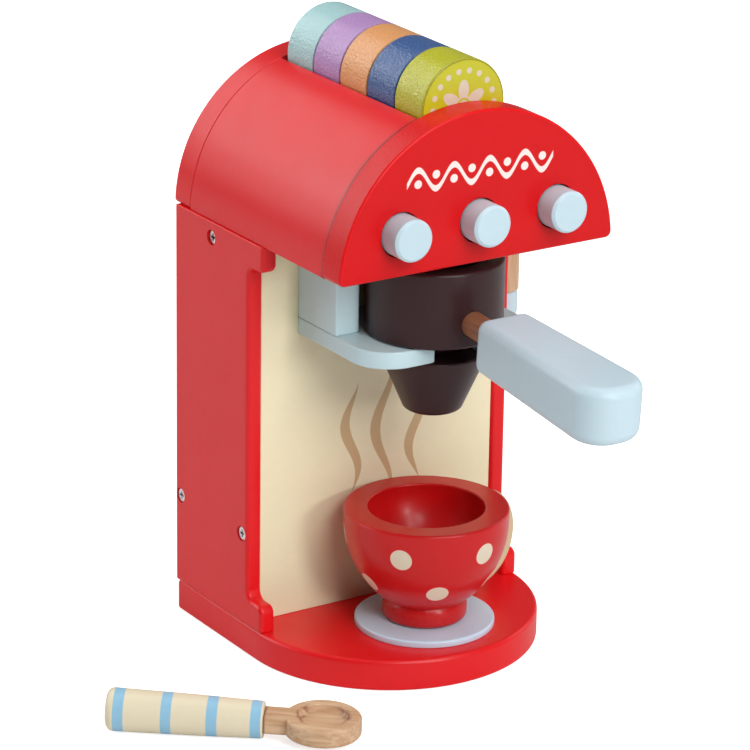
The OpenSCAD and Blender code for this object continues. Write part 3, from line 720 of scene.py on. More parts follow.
def painted_seam_shading(finish, level, flat, reach, change):
    """Painted light and shade at a seam: brightness that changes by a share within flat of a level along Y
    and is back at 1 over a reach. A positive change paints a highlight, a negative one paints shade.
    """
    _, y, _ = finish.axes(finish.place)
    away = ((y - level).size() - flat) / reach
    return (away * -1).math("ADD", 1, clamp=True).math("POWER", 1.6) * change + 1


def paint(
    name, paint_colour, roughness=0.36, peel=0.5, ornament=None, coat=0.14, gloss=0.3, seams=(),
    end_grain=None, grain_tone=0.0,
):
    """Satin paint on wood.

    The ornament is a function of the finish that gives (mask, colour) pairs. Painted seams are (level, flat,
    reach, change) of painted light and shade along a seam. End grain is a function that masks where the wood
    shows through as a fine relief; the grain shading share paints light there above 0 and shade below 0.
    """
    finish = Finish(name, {"Coat Weight": coat, "Coat Roughness": 0.22, "Specular IOR Level": gloss})
    coloured = solid(paint_colour)
    for mask, print_colour in (ornament(finish) if ornament else []):
        coloured = finish.mix(mask, coloured, solid(print_colour))
    tone = base_tone(finish)
    # Painted shade and painted highlights along seams.
    for seam in seams:
        tone = tone * painted_seam_shading(finish, *seam)
    # Painted light and shade where the end grain shows: above 0 it lightens, below 0 it darkens.
    if end_grain:
        tone = tone * (end_grain(finish) * grain_tone + 1)
    finish.set("Base Color", finish.shade(coloured, tone))
    finish.set("Roughness", finish.noise(6 * MM, 3) * 0.16 + (roughness - 0.08))
    relief = finish.noise(1.1 * MM, 2) * peel + finish.noise(5 * MM, 2) * 0.5
    if end_grain:
        relief = relief + finish.noise(0.8 * MM, 1) * end_grain(finish) * 3
    finish.bump(relief, 0.05 * MM)
    return finish.material


def bare_wood(name, light, dark, along=(0, 0, 0), marks=None):
    """Clear-finished wood whose fibres run along X, turned by along. Marks are as paint's ornament."""
    finish = Finish(name, {"Coat Weight": 0.08, "Coat Roughness": 0.3, "Specular IOR Level": 0.4})
    fibres = finish.moved(rotation=along, scale=(0.07, 1, 1))
    figure = finish.noise(2.6 * MM, 4, fibres, 0.6)
    flecks = finish.noise(0.8 * MM, 2, fibres)
    grain = (figure * 2.2 - 0.6).math("MULTIPLY", 1, clamp=True)
    wood = finish.mix(grain, solid(dark), solid(light))
    wood = finish.mix(flecks.below(0.42, 0.12) * 0.6, wood, solid(dark))
    for mask, mark_colour in (marks(finish) if marks else []):
        wood = finish.mix(mask, wood, solid(mark_colour))
    finish.set("Base Color", finish.shade(wood, base_tone(finish, 0.1)))
    finish.set("Roughness", flecks * 0.2 + 0.4)
    finish.bump(flecks * 0.6 + figure * 0.4, 0.06 * MM)
    return finish.material


def steel(name, tone, roughness, recess_shade=None):
    """Plated steel with fine drawing marks. The recess mask is a function that gives where painted shade
    darkens the steel.
    """
    finish = Finish(name, {"Metallic": 1.0})
    brightness = finish.noise(1.5 * MM, 3) * 0.16 + 0.92
    # Painted shade in the recess, up to 70 % darker.
    if recess_shade:
        brightness = brightness * (recess_shade(finish) * -0.7 + 1)
    finish.set("Base Color", finish.shade(solid(tone), brightness))
    finish.set("Roughness", finish.noise(0.6 * MM, 2) * 0.16 + (roughness - 0.08))
    finish.bump(finish.noise(0.5 * MM, 2), 0.01 * MM)
    return finish.material


MATERIALS = {}


def material(name, maker, *given, **settings):
    """A material that is made when it is first asked for."""
    if name not in MATERIALS:
        MATERIALS[name] = maker(name, *given, **settings)
    return MATERIALS[name]


def settings_of(context):
    return context.scene.toy_coffee_maker


def red_paint(context):
    return material("red_paint", paint, settings_of(context).paints.red)


def sky_paint(context):
    return material("sky_paint", paint, settings_of(context).paints.sky)


def holder_paint(context):
    return material("holder_paint", paint, settings_of(context).paints.holder_blue)


def brown_paint(context):
    return material("brown_paint", paint, settings_of(context).paints.brown, coat=0.1, gloss=0.25)


def beech(context, name="beech_wood", along=(0, 0, 0), marks=None):
    paints = settings_of(context).paints
    return material(name, bare_wood, paints.beech, paints.beech_dark, along, marks)


def dowel_wood(context, name, along):
    paints = settings_of(context).paints
    return material(name, bare_wood, paints.dowel, paints.dowel_dark, along)


# ---------- case ----------


class Maker:
    """What all the operators share."""

    bl_options = {"REGISTER", "UNDO"}


class TOY_OT_base_board(Maker, bpy.types.Operator):
    """Base board with a half-round front"""

    bl_idname = "toy.base_board"
    bl_label = "Base board"

    def execute(self, context):
        sizes = settings_of(context)
        low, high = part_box("base_board")
        radius = (high.x - low.x) / 2
        nose_y = low.y + radius
        board = rod("base_board_painted", (0, nose_y, low.z), ALONG_Z, radius, high.z - low.z, ARCH_SIDES)
        slice_off(board, (0, nose_y, 0), ALONG_Y)
        pull(board, lambda face: face.normal.y > 0.9, (0, high.y - nose_y, 0))
        round_off(
            board, sizes.boards.base_corner_r, 10,
            lambda edge: runs_along(edge, ALONG_Z) and near(middle(edge).y, high.y),
        )
        merge_flats(board)
        for edge_r, level in ((sizes.boards.edge_r, high.z), (sizes.boards.foot_edge_r, low.z)):
            round_off(board, edge_r, 4, lambda edge: sharp(edge) and near(middle(edge).z, level))
        drill_for(board, "base_screws", ALONG_Z, sizes.screws)
        dress(board, "base_board", red_paint(context))
        return {"FINISHED"}


def screw_axes(node, axis):
    """Middle of each screw of a node, where it crosses the lowest end along the axis."""
    found = []
    for corner in frame["nodes"][node].data.vertices:
        flat = corner.co - axis * corner.co.dot(axis)
        spot = next((s for s in found if (s["middle"] - flat).length < 8 * MM), None)
        if spot is None:
            spot = {"middle": flat.copy(), "low": flat.copy(), "high": flat.copy(), "reach": []}
            found.append(spot)
        spot["low"] = Vector(map(min, spot["low"], flat))
        spot["high"] = Vector(map(max, spot["high"], flat))
        spot["middle"] = (spot["low"] + spot["high"]) / 2
        spot["reach"].append(corner.co.dot(axis))
    return [(s["middle"], min(s["reach"]), max(s["reach"])) for s in found]


def drill_for(board, node, axis, screws):
    """Drills the holes that a node's screws sit in, from the side that axis points away from."""
    for spot, start, _ in screw_axes(node, axis):
        deep = start + screws.head_t + 4 * OVER
        outside = spot + axis * (start - 8 * OVER)
        hole_r = screws.head_r + screws.room
        combine(board, rod("hole", outside, axis, hole_r, deep - start + 4 * OVER))


class TOY_OT_side_panels(Maker, bpy.types.Operator):
    """Left and right side panels, each with a tab at the top and a foot at the bottom"""

    bl_idname = "toy.side_panels"
    bl_label = "Side panels"

    def execute(self, context):
        sizes = settings_of(context)
        boards = sizes.boards
        for side, inwards in (("left", 1), ("right", -1)):
            node = f"side_panel_{side}"
            low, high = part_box(node)
            edge_y = low.y + boards.tab_reach
            foot_z = low.z + boards.tab_h
            tab_z = high.z - boards.tab_h
            panel = block(f"{node}_painted", (low.x, edge_y, low.z), high)
            for level in (foot_z, tab_z):
                score(panel, (0, 0, level), ALONG_Z)
            pull(
                panel,
                lambda face: face.normal.y < -0.9 and not foot_z < face.calc_center_median().z < tab_z,
                (0, -boards.tab_reach, 0),
            )
            merge_flats(panel)
            for y, radius in ((low.y, boards.tab_corner_r), (edge_y, boards.tab_hollow_r)):
                round_off(
                    panel, radius, 8,
                    lambda edge: runs_along(edge, ALONG_X) and near(middle(edge).y, y)
                    and any(near(middle(edge).z, level) for level in (foot_z, tab_z)),
                )
            merge_flats(panel)

            def in_seam(edge):
                levels = ((low.z, "z"), (high.z, "z"), (high.y, "y"))
                return any(
                    all(near(getattr(corner.co, way), level) for corner in edge.verts)
                    for level, way in levels
                )

            round_off(panel, boards.edge_r, 4, lambda edge: sharp(edge) and not in_seam(edge))
            round_off(panel, boards.seam_edge_r, 3, lambda edge: sharp(edge) and in_seam(edge))
            drill_for(panel, f"side_screws_{side}", ALONG_X * inwards, sizes.screws)
            if side == "right":
                pivot_low, pivot_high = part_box("wand_pivot")
                pivot = (pivot_low + pivot_high) / 2
                radius = (pivot_high.z - pivot_low.z) / 2 + HOLE_ROOM
                reach = high.x - low.x + 2 * OVER
                combine(panel, rod("hole", (low.x - OVER, pivot.y, pivot.z), ALONG_X, radius, reach))
            dress(panel, node, red_paint(context))
        return {"FINISHED"}


def steam_wisps_and_foot_shade(finish):
    """Painted shade at the panel's foot, a darker and less red cream that fades out upwards, and three
    slender rising wisps in the middle of the panel.
    """
    paints = settings_of(bpy.context).paints
    x, _, z = finish.axes(finish.place)
    mask = None
    waves, widest, thinnest, soft = 7.5, 2.6 * MM, 0.05 * MM, 0.25 * MM
    shade_top, shade_fade = 75 * MM, 50 * MM
    for start_x, start_z, end_z, sway, phase in (
        (-13 * MM, 62 * MM, 112 * MM, 3.4 * MM, 0.0),
        (3 * MM, 58 * MM, 122 * MM, 4.2 * MM, 1.1),
        (19 * MM, 62 * MM, 110 * MM, 3.2 * MM, 2.2),
    ):
        climb = (z - start_z) / (end_z - start_z)
        middle_x = (climb * waves + phase).sine() * sway + start_x
        fade = (climb * math.pi).sine()
        width = fade * widest + thinnest
        inside = (width - (x - middle_x).size()).math("DIVIDE", soft, clamp=True)
        inside = inside * climb.below(1.0, 0.01) * (climb * -1).below(0.0, 0.01)
        mask = inside if mask is None else mask.most(inside)
    # Painted shade, full at the panel's foot and fading out upwards.
    foot = (z - shade_top).math("DIVIDE", -shade_fade, clamp=True)
    return [(foot, paints.panel_low), (mask, paints.print_tan)]


class TOY_OT_front_and_back(Maker, bpy.types.Operator):
    """Cream front panel, set back between the sides, and the red back panel"""

    bl_idname = "toy.front_and_back"
    bl_label = "Front and back panels"

    def execute(self, context):
        sizes = settings_of(context)
        cream = material("cream_panel", paint, sizes.paints.panel_cream, ornament=steam_wisps_and_foot_shade)
        for node, finish in (("front_panel", cream), ("back_panel", red_paint(context))):
            panel = block(f"{node}_painted", *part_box(node))
            soften(panel, sizes.boards.seam_edge_r)
            dress(panel, node, finish)
        return {"FINISHED"}


# ---------- housing ----------


def arch(name, node, drop, corner_r):
    """An arched board: a round one cut off at its lower edge, with its lower corners rounded."""
    low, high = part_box(node)
    axis_z = low.z - drop
    board = rod(name, (0, low.y, axis_z), ALONG_Y, high.z - axis_z, high.y - low.y, ARCH_SIDES)
    slice_off(board, (0, 0, low.z), -ALONG_Z)
    straighten(board, ALONG_Z, low.z, 1.5 * corner_r)
    round_off(board, corner_r, 8, lambda edge: runs_along(edge, ALONG_Y) and near(middle(edge).z, low.z))
    return board


def wave_and_dots(finish):
    """A waved line with a dot in each bend, across the face plate."""
    paints = settings_of(bpy.context).paints
    x, _, z = finish.axes(finish.place)
    line_z, sway, wave_l, half_l = 222.5 * MM, 4.3 * MM, 17 * MM, 35 * MM
    half_line, dot_r, dot_lift, soft = 1.3 * MM, 1.75 * MM, 1.5 * MM, 0.2 * MM
    bend = (x * (2 * math.pi / wave_l)).sine() * sway + line_z
    line = (z - bend).size().below(half_line, soft)
    within = x.size().below(half_l, 0.3 * MM)
    nearest = x.math("WRAP", wave_l / 2, -wave_l / 2)
    dots = None
    for shift, lift in ((wave_l / 4, -1), (-wave_l / 4, 1)):
        across = nearest - shift
        upward = z - (line_z + lift * dot_lift)
        dot = (across * across + upward * upward).math("SQRT").below(dot_r, soft)
        dots = dot if dots is None else dots.most(dot)
    return [(line.most(dots) * within, paints.print_white)]


def face_rim(finish):
    """1 on the round edge of the face plate, 0 on its front."""
    low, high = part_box("face_plate")
    x, _, z = finish.axes(finish.moved(place=(0, 0, low.z - settings_of(bpy.context).boards.face_drop)))
    return ((x * x + z * z).math("SQRT") * -1).below(-(high.x - 0.7 * MM), 0.5 * MM)


class TOY_OT_arched_boards(Maker, bpy.types.Operator):
    """Arched back board, and the face plate with its three button holes"""

    bl_idname = "toy.arched_boards"
    bl_label = "Arched boards"

    def execute(self, context):
        sizes = settings_of(context)
        boards, buttons = sizes.boards, sizes.buttons
        back = arch("roof_back_board_painted", "roof_back_board", boards.roof_drop, boards.arch_corner_r)
        low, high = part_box("roof_back_board")
        merge_flats(back)
        round_off(back, boards.edge_r, 4, lambda edge: sharp(edge) and near(middle(edge).y, high.y))
        round_off(back, boards.seam_edge_r, 3, lambda edge: sharp(edge) and near(middle(edge).y, low.y))
        dress(back, "roof_back_board", red_paint(context))

        face = arch("face_plate_painted", "face_plate", boards.face_drop, boards.face_corner_r)
        low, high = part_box("face_plate")
        axes = []
        for place in ("left", "centre", "right"):
            cap_low, cap_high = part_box(f"button_{place}")
            axes.append(((cap_low.x + cap_high.x) / 2, (cap_low.z + cap_high.z) / 2))
        for x, z in axes:
            reach = high.y - low.y + 2 * OVER
            combine(face, rod("hole", (x, low.y - OVER, z), ALONG_Y, buttons.hole_r, reach))

        def at_hole(edge):
            spot = middle(edge)
            return any(math.hypot(spot.x - x, spot.z - z) < buttons.hole_r + 0.1 * MM for x, z in axes)

        merge_flats(face)
        round_off(
            face, boards.face_edge_r, 4,
            lambda edge: sharp(edge) and not at_hole(edge) and near(middle(edge).y, low.y),
        )
        round_off(
            face, boards.rim_back_r, 3,
            lambda edge: sharp(edge) and not at_hole(edge) and near(middle(edge).y, high.y),
        )
        round_off(face, buttons.hole_edge_r, 3, lambda edge: sharp(edge) and at_hole(edge))
        # Painted highlights: a thin light line along the rim's back edge and a faint one along its front
        # edge; the rim's end grain is also painted 20 % lighter as a sheen.
        rim = ((high.y, 0, 0.8 * MM, 0.35), (low.y, 0, 1.6 * MM, 0.06))
        face_paint = material(
            "face_paint", paint, sizes.paints.face_red_shaded, ornament=wave_and_dots, coat=0.06, gloss=0.22,
            seams=rim, end_grain=face_rim, grain_tone=0.2,
        )
        dress(face, "face_plate", face_paint)
        return {"FINISHED"}


class TOY_OT_roof_panels(Maker, bpy.types.Operator):
    """Curved roof panels on both sides of the pods"""

    bl_idname = "toy.roof_panels"
    bl_label = "Roof panels"

    def execute(self, context):
        boards = settings_of(context).boards
        back_low, back_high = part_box("roof_back_board")
        axis_z = back_low.z - boards.roof_drop
        radius = back_high.z - axis_z
        front_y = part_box("roof_panel_left")[0].y
        red = settings_of(context).paints.red
        # Painted shadow on the roof just behind the face plate's rim, a wider soft painted shade there, and a
        # painted shade line at the back board.
        seams = (
            (front_y, 2.8 * MM, 0.9 * MM, -0.45), (front_y, 0, 6.5 * MM, -0.25),
            (back_low.y, 0, 0.9 * MM, -0.3),
        )
        finish = material("roof_paint", paint, red, seams=seams)
        for node in ("roof_panel_left", "roof_panel_right"):
            low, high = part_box(node)
            outwards = 1 if low.x > 0 else -1
            inner_x = low.x if outwards > 0 else high.x
            shell = rod(f"{node}_painted", (0, low.y, axis_z), ALONG_Y, radius, high.y - low.y, ARCH_SIDES)
            slice_off(shell, (inner_x, 0, 0), ALONG_X * -outwards)
            slice_off(shell, (0, 0, low.z), -ALONG_Z)
            straighten(shell, ALONG_X, inner_x, 2.5 * MM)
            straighten(shell, ALONG_Z, low.z, 2.5 * MM)
            vault = rod(
                "vault", (0, low.y - OVER, axis_z), ALONG_Y, radius - boards.roof_wall,
                high.y - low.y + 2 * OVER, ARCH_SIDES,
            )
            combine(shell, vault)
            straighten(shell, ALONG_X, inner_x, 2.5 * MM)
            straighten(shell, ALONG_Z, low.z, 2.5 * MM)
            merge_flats(shell)

            def in_front(edge):
                spot = middle(edge)
                return near(spot.y, low.y) and math.hypot(spot.x, spot.z - axis_z) > radius - 1 * MM

            round_off(shell, boards.roof_front_r, 4, lambda edge: sharp(edge) and in_front(edge))
            round_off(shell, boards.seam_edge_r, 3, sharp)
            dress(shell, node, finish)
        return {"FINISHED"}


class TOY_OT_inner_boards(Maker, bpy.types.Operator):
    """Bare wood on the boards, dowels and screws inside, which keep their construction shape"""

    bl_idname = "toy.inner_boards"
    bl_label = "Inner boards"

    def execute(self, context):
        for node in ("top_shelf", "housing_floor", "pod_trough", "spring_rail", "wand_washer", "wand_pivot"):
            clothe(node, beech(context))
        clothe("filter_core", dowel_wood(context, "core_wood", (0, math.radians(90), 0)))
        for node in ("base_screws", "housing_screws"):
            clothe(node, zinc())
        return {"FINISHED"}


def zinc():
    return material("zinc_steel", steel, linear(196, 194, 196), 0.24)


# ---------- pods ----------


def daisy_in_ring(finish):
    """A six-petalled flower inside a ring of dots, on both ends of a pod."""
    paints = settings_of(bpy.context).paints
    low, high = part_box("pod_1")
    x, _, z = finish.axes(finish.moved(place=(0, 0, (low.z + high.z) / 2)))
    reach = (x * x + z * z).math("SQRT")
    turned_by = z.math("ARCTAN2", x)
    petal_l, petal_start, heart_r, gap_r = 7.4 * MM, 3.6 * MM, 2.6 * MM, 3.4 * MM
    ring_r, ring_dots, dot_r, soft = 14.6 * MM, 18, 1.25 * MM, 0.2 * MM
    petal_r = (turned_by * 3).sine().size() * petal_l + petal_start
    petals = (reach - petal_r).math("DIVIDE", -0.25 * MM, clamp=True)
    heart = reach.below(heart_r, soft)
    sector = 2 * math.pi / ring_dots
    around = turned_by.math("WRAP", sector / 2, -sector / 2) * ring_r
    out = reach - ring_r
    dots = (around * around + out * out).math("SQRT").below(dot_r, soft)
    gap = (reach * -1).below(-gap_r, soft)
    return [((petals * gap).most(heart).most(dots), paints.print_pale)]


def pod_paint(name, paint_colour, node):
    """Pod paint: smooth on the ends, thick with orange peel on the round side, with painted shade in the
    seams between pods.
    """
    low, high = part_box(node)
    axis_z = (low.z + high.z) / 2
    finish = Finish(name, {"Coat Weight": 0.3, "Coat Roughness": 0.22, "Specular IOR Level": 0.5})
    coloured = solid(paint_colour)
    for mask, print_colour in daisy_in_ring(finish):
        coloured = finish.mix(mask, coloured, solid(print_colour))
    x, _, z = finish.axes(finish.place)
    up = z - axis_z
    side = ((x * x + up * up).math("SQRT") * -1).below(-(high.x - 0.7 * MM), 0.4 * MM)
    # Painted shade along both ends of the round side, where the pods meet.
    seams = painted_seam_shading(finish, low.y, 0, 0.9 * MM, -0.5) * painted_seam_shading(finish, high.y, 0, 0.9 * MM, -0.5)
    finish.set("Base Color", finish.shade(coloured, base_tone(finish) * ((seams - 1) * side + 1)))
    finish.set("Roughness", finish.noise(5 * MM, 3) * 0.14 + 0.28)
    hammered = (finish.cells(1.0 * MM) + finish.noise(0.8 * MM, 1) * 0.7) * (side * 0.9 + 0.1)
    finish.bump(hammered, 0.3 * MM)
    return finish.material


class TOY_OT_pods(Maker, bpy.types.Operator):
    """Five loose pods"""

    bl_idname = "toy.pods"
    bl_label = "Pods"

    def execute(self, context):
        paints = settings_of(context).paints
        low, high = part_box("pod_1")
        radius = high.x
        thick = high.y - low.y
        edge_r = 0.7 * MM
        outline = [(POLE_R, 0)]
        outline += arc((radius - edge_r, edge_r), edge_r, -90, 0, 4)
        outline += arc((radius - edge_r, thick - edge_r), edge_r, 0, 90, 4)
        outline += [(POLE_R, thick)]
        place = Matrix.Translation((0, high.y, (low.z + high.z) / 2))
        place = place @ Matrix.Rotation(math.radians(90), 4, "X")
        first = turned("pod_1_painted", outline, place)
        pods = [first]
        for number in range(2, 6):
            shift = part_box(f"pod_{number}")[0] - low
            pods.append(copy_of(first, f"pod_{number}_painted", shift))
        for number, tone in enumerate(("teal", "lilac", "orange", "blue", "green"), 1):
            node = f"pod_{number}"
            finish = material(f"pod_{tone}", pod_paint, getattr(paints, tone), node)
            dress(pods[number - 1], node, finish)
        return {"FINISHED"}


# ---------- buttons ----------


class TOY_OT_buttons(Maker, bpy.types.Operator):
    """Three buttons, each with a collar behind the face plate and a guide pin"""

    bl_idname = "toy.buttons"
    bl_label = "Buttons"

    def execute(self, context):
        sizes = settings_of(context).buttons
        low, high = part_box("button_left")
        front, end = -low.y, -high.y
        collar = sizes.collar_back
        collar_r = (high.x - low.x) / 2
        outline = [
            (POLE_R, end), (sizes.pin_r, end), (sizes.pin_r, collar - sizes.collar_t),
            (collar_r, collar - sizes.collar_t), (collar_r, collar), (sizes.cap_r, collar),
            (sizes.cap_r, front - sizes.chamfer), (sizes.cap_r - sizes.chamfer, front), (POLE_R, front),
        ]
        axis = Vector(((low.x + high.x) / 2, 0, (low.z + high.z) / 2))
        place = Matrix.Translation(axis) @ Matrix.Rotation(math.radians(90), 4, "X")
        first = turned("button_left_painted", outline, place)
        soften(first, sizes.edge_r, 2, 30)
        caps = {"left": first}
        for name in ("centre", "right"):
            caps[name] = copy_of(first, f"button_{name}_painted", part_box(f"button_{name}")[0] - low)
        for name, cap in caps.items():
            dress(cap, f"button_{name}", sky_paint(context), 30)
        return {"FINISHED"}


class TOY_OT_springs(Maker, bpy.types.Operator):
    """Coil springs behind the buttons"""

    bl_idname = "toy.springs"
    bl_label = "Springs"

    def execute(self, context):
        sizes = settings_of(context).buttons
        low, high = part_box("spring_left")
        axis = Vector(((low.x + high.x) / 2, low.y, (low.z + high.z) / 2))
        coil_r = (high.x - low.x) / 2 - sizes.wire_r
        rise = high.y - low.y - 2 * sizes.wire_r
        bpy.ops.object.select_all(action="DESELECT")
        bpy.ops.mesh.primitive_circle_add(
            vertices=12, radius=sizes.wire_r, location=(coil_r, 0, sizes.wire_r),
            rotation=(math.radians(90), 0, 0),
        )
        first = settle(new_piece("spring_left_coil"))
        turns = sizes.spring_turns
        modify(
            first, "SCREW", angle=2 * math.pi * turns, screw_offset=rise, iterations=1,
            steps=40 * turns, render_steps=40 * turns, use_merge_vertices=False,
        )
        with editing(first):
            bpy.ops.mesh.select_all(action="SELECT")
            bpy.ops.mesh.fill_holes(sides=0)
            bpy.ops.mesh.select_all(action="SELECT")
            bpy.ops.mesh.normals_make_consistent(inside=False)
        settle(first, Matrix.Translation(axis) @ Matrix.Rotation(math.radians(-90), 4, "X"))
        springs = {"left": first}
        for name in ("centre", "right"):
            springs[name] = copy_of(first, f"spring_{name}_coil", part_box(f"spring_{name}")[0] - low)
        wire = material("spring_wire", steel, linear(190, 192, 198), 0.3)
        for name, spring in springs.items():
            dress(spring, f"spring_{name}", wire, 60)
            low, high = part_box(f"spring_{name}")
            travel = next(j["range_m"][1] for j in frame["joints"] if j["name"] == f"button_{name}_press")
            keep = 1 - travel / (high.y - low.y)
            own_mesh(spring)
        return {"FINISHED"}


# ---------- filter holder and filter ----------


class TOY_OT_fork(Maker, bpy.types.Operator):
    """Slotted fork and the two blocks that it hangs from"""

    bl_idname = "toy.fork"
    bl_label = "Fork and hangers"

    def execute(self, context):
        boards = settings_of(context).boards
        for node in ("hanger_left", "hanger_right"):
            hanger = block(f"{node}_painted", *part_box(node))
            soften(hanger, boards.fork_edge_r, 3)
            dress(hanger, node, holder_paint(context))
        low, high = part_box("holder_fork")
        fork = block("holder_fork_painted", low, high)
        round_off(
            fork, boards.fork_corner_r, 20,
            lambda edge: runs_along(edge, ALONG_Z) and near(middle(edge).y, low.y),
        )
        axis_y = low.y + boards.fork_lip
        slot_r = boards.fork_slot_r
        reach = high.z - low.z + 2 * OVER
        combine(fork, rod("slot", (0, axis_y, low.z - OVER), ALONG_Z, slot_r, reach))
        combine(fork, block("slot", (-slot_r, low.y - OVER, low.z - OVER), (slot_r, axis_y, high.z + OVER)))
        soften(fork, boards.fork_edge_r, 3, 30)
        dress(fork, "holder_fork", holder_paint(context))
        return {"FINISHED"}


def axis_on_floor(node):
    """Where an upright node's axis meets the floor."""
    low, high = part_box(node)
    return Vector(((low.x + high.x) / 2, (low.y + high.y) / 2, 0))


def handle_matrix(sizes):
    """The handle's axis: its +Z runs outwards from the filter's axis."""
    lift = axis_on_floor("filter_head") + Vector((0, 0, sizes.axis_z))
    return Matrix.Translation(lift) @ Matrix.Rotation(math.radians(90) + sizes.handle_tilt, 4, "X")


class TOY_OT_filter(Maker, bpy.types.Operator):
    """Filter head with a bowl for a pod, its neck, its spout and the dowel of the handle"""

    bl_idname = "toy.filter"
    bl_label = "Filter"

    def execute(self, context):
        sizes = settings_of(context).filter
        place = Matrix.Translation(axis_on_floor("filter_head"))
        brown = brown_paint(context)

        low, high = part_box("filter_head")
        radius, edge_r = (high.x - low.x) / 2, sizes.head_edge_r
        bowl_edge_r = sizes.bowl_edge_r
        outline = [(POLE_R, low.z)]
        outline += arc((radius - edge_r, low.z + edge_r), edge_r, -90, 0, 5)
        outline += arc((radius - edge_r, high.z - edge_r), edge_r, 0, 90, 5)
        outline += arc((sizes.bowl_r + bowl_edge_r, high.z - bowl_edge_r), bowl_edge_r, 90, 180, 4)
        floor_z = high.z - sizes.bowl_d
        outline += arc((sizes.bowl_r - bowl_edge_r, floor_z + bowl_edge_r), bowl_edge_r, 0, -90, 4)
        outline += [(POLE_R, floor_z)]
        head = turned("filter_head_painted", outline, place)
        seat = (0, 0, radius - DOWEL_IN_HEAD)
        dowel_hole = rod("hole", seat, ALONG_Z, sizes.dowel_r + HOLE_ROOM, DOWEL_HOLE_L)
        settle(dowel_hole, handle_matrix(sizes))
        combine(head, dowel_hole)
        core_low, core_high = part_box("filter_core")
        core_r = (core_high.x - core_low.x) / 2 + HOLE_ROOM
        foot = axis_on_floor("filter_head")
        combine(head, rod("hole", foot + ALONG_Z * (low.z - OVER), ALONG_Z, core_r, CORE_IN_HEAD + OVER))
        dress(head, "filter_head", brown, 50)

        low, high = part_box("filter_neck")
        radius = (high.x - low.x) / 2
        outline = [(core_r, low.z), (radius, low.z), (radius, high.z), (core_r, high.z)]
        neck = turned("filter_neck_painted", outline, place)
        reach = high.z - low.z + 2 * OVER
        combine(neck, rod("hole", foot + ALONG_Z * (low.z - OVER), ALONG_Z, core_r, reach))
        dress(neck, "filter_neck", brown)

        low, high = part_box("filter_spout")
        top_r, tip_r, tip_edge = (high.x - low.x) / 2, sizes.tip_r, sizes.tip_edge_r
        lean = math.atan2(top_r - tip_r, high.z - low.z)
        edge_x = tip_r - tip_edge * (1 - math.sin(lean)) / math.cos(lean)
        top_edge = 0.8 * MM
        outline = [(POLE_R, low.z)]
        outline += arc((edge_x, low.z + tip_edge), tip_edge, -90, -math.degrees(lean), 6)
        outline += arc((top_r - top_edge, high.z - top_edge), top_edge, -math.degrees(lean), 90, 5)
        hole_end = high.z - CORE_IN_SPOUT
        outline += [(core_r + 0.5 * MM, high.z), (core_r, high.z), (core_r, hole_end), (POLE_R, hole_end)]
        dress(turned("filter_spout_painted", outline, place), "filter_spout", brown, 50)

        dowel_r = sizes.dowel_r
        start = (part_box("filter_head")[1].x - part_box("filter_head")[0].x) / 2 - DOWEL_IN_HEAD
        end = sizes.handle_start + DOWEL_IN_HANDLE
        edge_r = 0.5 * MM
        outline = [(POLE_R, start), *arc((dowel_r - edge_r, start + edge_r), edge_r, -90, 0, 3)]
        outline += [*arc((dowel_r - edge_r, end - edge_r), edge_r, 0, 90, 3), (POLE_R, end)]
        dowel = turned("filter_dowel_turned", outline, handle_matrix(sizes))
        dress(dowel, "filter_dowel", dowel_wood(context, "handle_dowel_wood", (0, 0, math.radians(90))), 50)
        return {"FINISHED"}


class TOY_OT_handle(Maker, bpy.types.Operator):
    """Paddle handle of the filter"""

    bl_idname = "toy.handle"
    bl_label = "Filter handle"

    def execute(self, context):
        sizes = settings_of(context).filter
        start, end = sizes.handle_start, sizes.handle_start + sizes.handle_l
        half_w, half_t = sizes.inner_w / 2, sizes.inner_t / 2
        paddle = block("filter_handle_painted", (-half_w, -half_t, start), (half_w, half_t, end))
        with editing(paddle):
            pick(paddle, "FACE", lambda face: face.normal.z > 0.9)
            spread = (sizes.outer_w / sizes.inner_w, sizes.outer_t / sizes.inner_t, 1)
            bpy.ops.transform.resize(value=spread, center_override=(0, 0, end))
        round_off(
            paddle, sizes.handle_corner_r, 16,
            lambda edge: near(edge.verts[0].co.z, end) and near(edge.verts[1].co.z, end)
            and runs_along(edge, ALONG_Y),
        )
        soften(paddle, sizes.handle_edge_r, 8, 30)
        hole_r = sizes.dowel_r + HOLE_ROOM
        combine(paddle, rod("hole", (0, 0, start - OVER), ALONG_Z, hole_r, HANDLE_HOLE_L + OVER))
        round_off(
            paddle, 0.4 * MM, 2,
            lambda edge: all(
                near(v.co.z, start) and near(math.hypot(v.co.x, v.co.y), hole_r) for v in edge.verts
            ),
        )
        settle(paddle, handle_matrix(sizes))
        dress(paddle, "filter_handle", sky_paint(context), 50)
        return {"FINISHED"}


# ---------- drip disc and cup ----------


class TOY_OT_drip_disc(Maker, bpy.types.Operator):
    """Round disc under the cup"""

    bl_idname = "toy.drip_disc"
    bl_label = "Drip disc"

    def execute(self, context):
        low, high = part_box("drip_disc")
        radius, edge_r, foot_edge = (high.x - low.x) / 2, 0.9 * MM, 0.3 * MM
        outline = [(POLE_R, low.z), (radius - foot_edge, low.z), (radius, low.z + foot_edge)]
        outline += [*arc((radius - edge_r, high.z - edge_r), edge_r, 0, 90, 5), (POLE_R, high.z)]
        place = Matrix.Translation(axis_on_floor("drip_disc"))
        blue = material("disc_paint", paint, settings_of(context).paints.disc_blue)
        dress(turned("drip_disc_painted", outline, place), "drip_disc", blue, 50)
        return {"FINISHED"}


def cup_middle():
    """The middle of the cup's foot."""
    low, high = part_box("cup_body")
    return Vector(((low.x + high.x) / 2, (low.y + high.y) / 2, low.z))


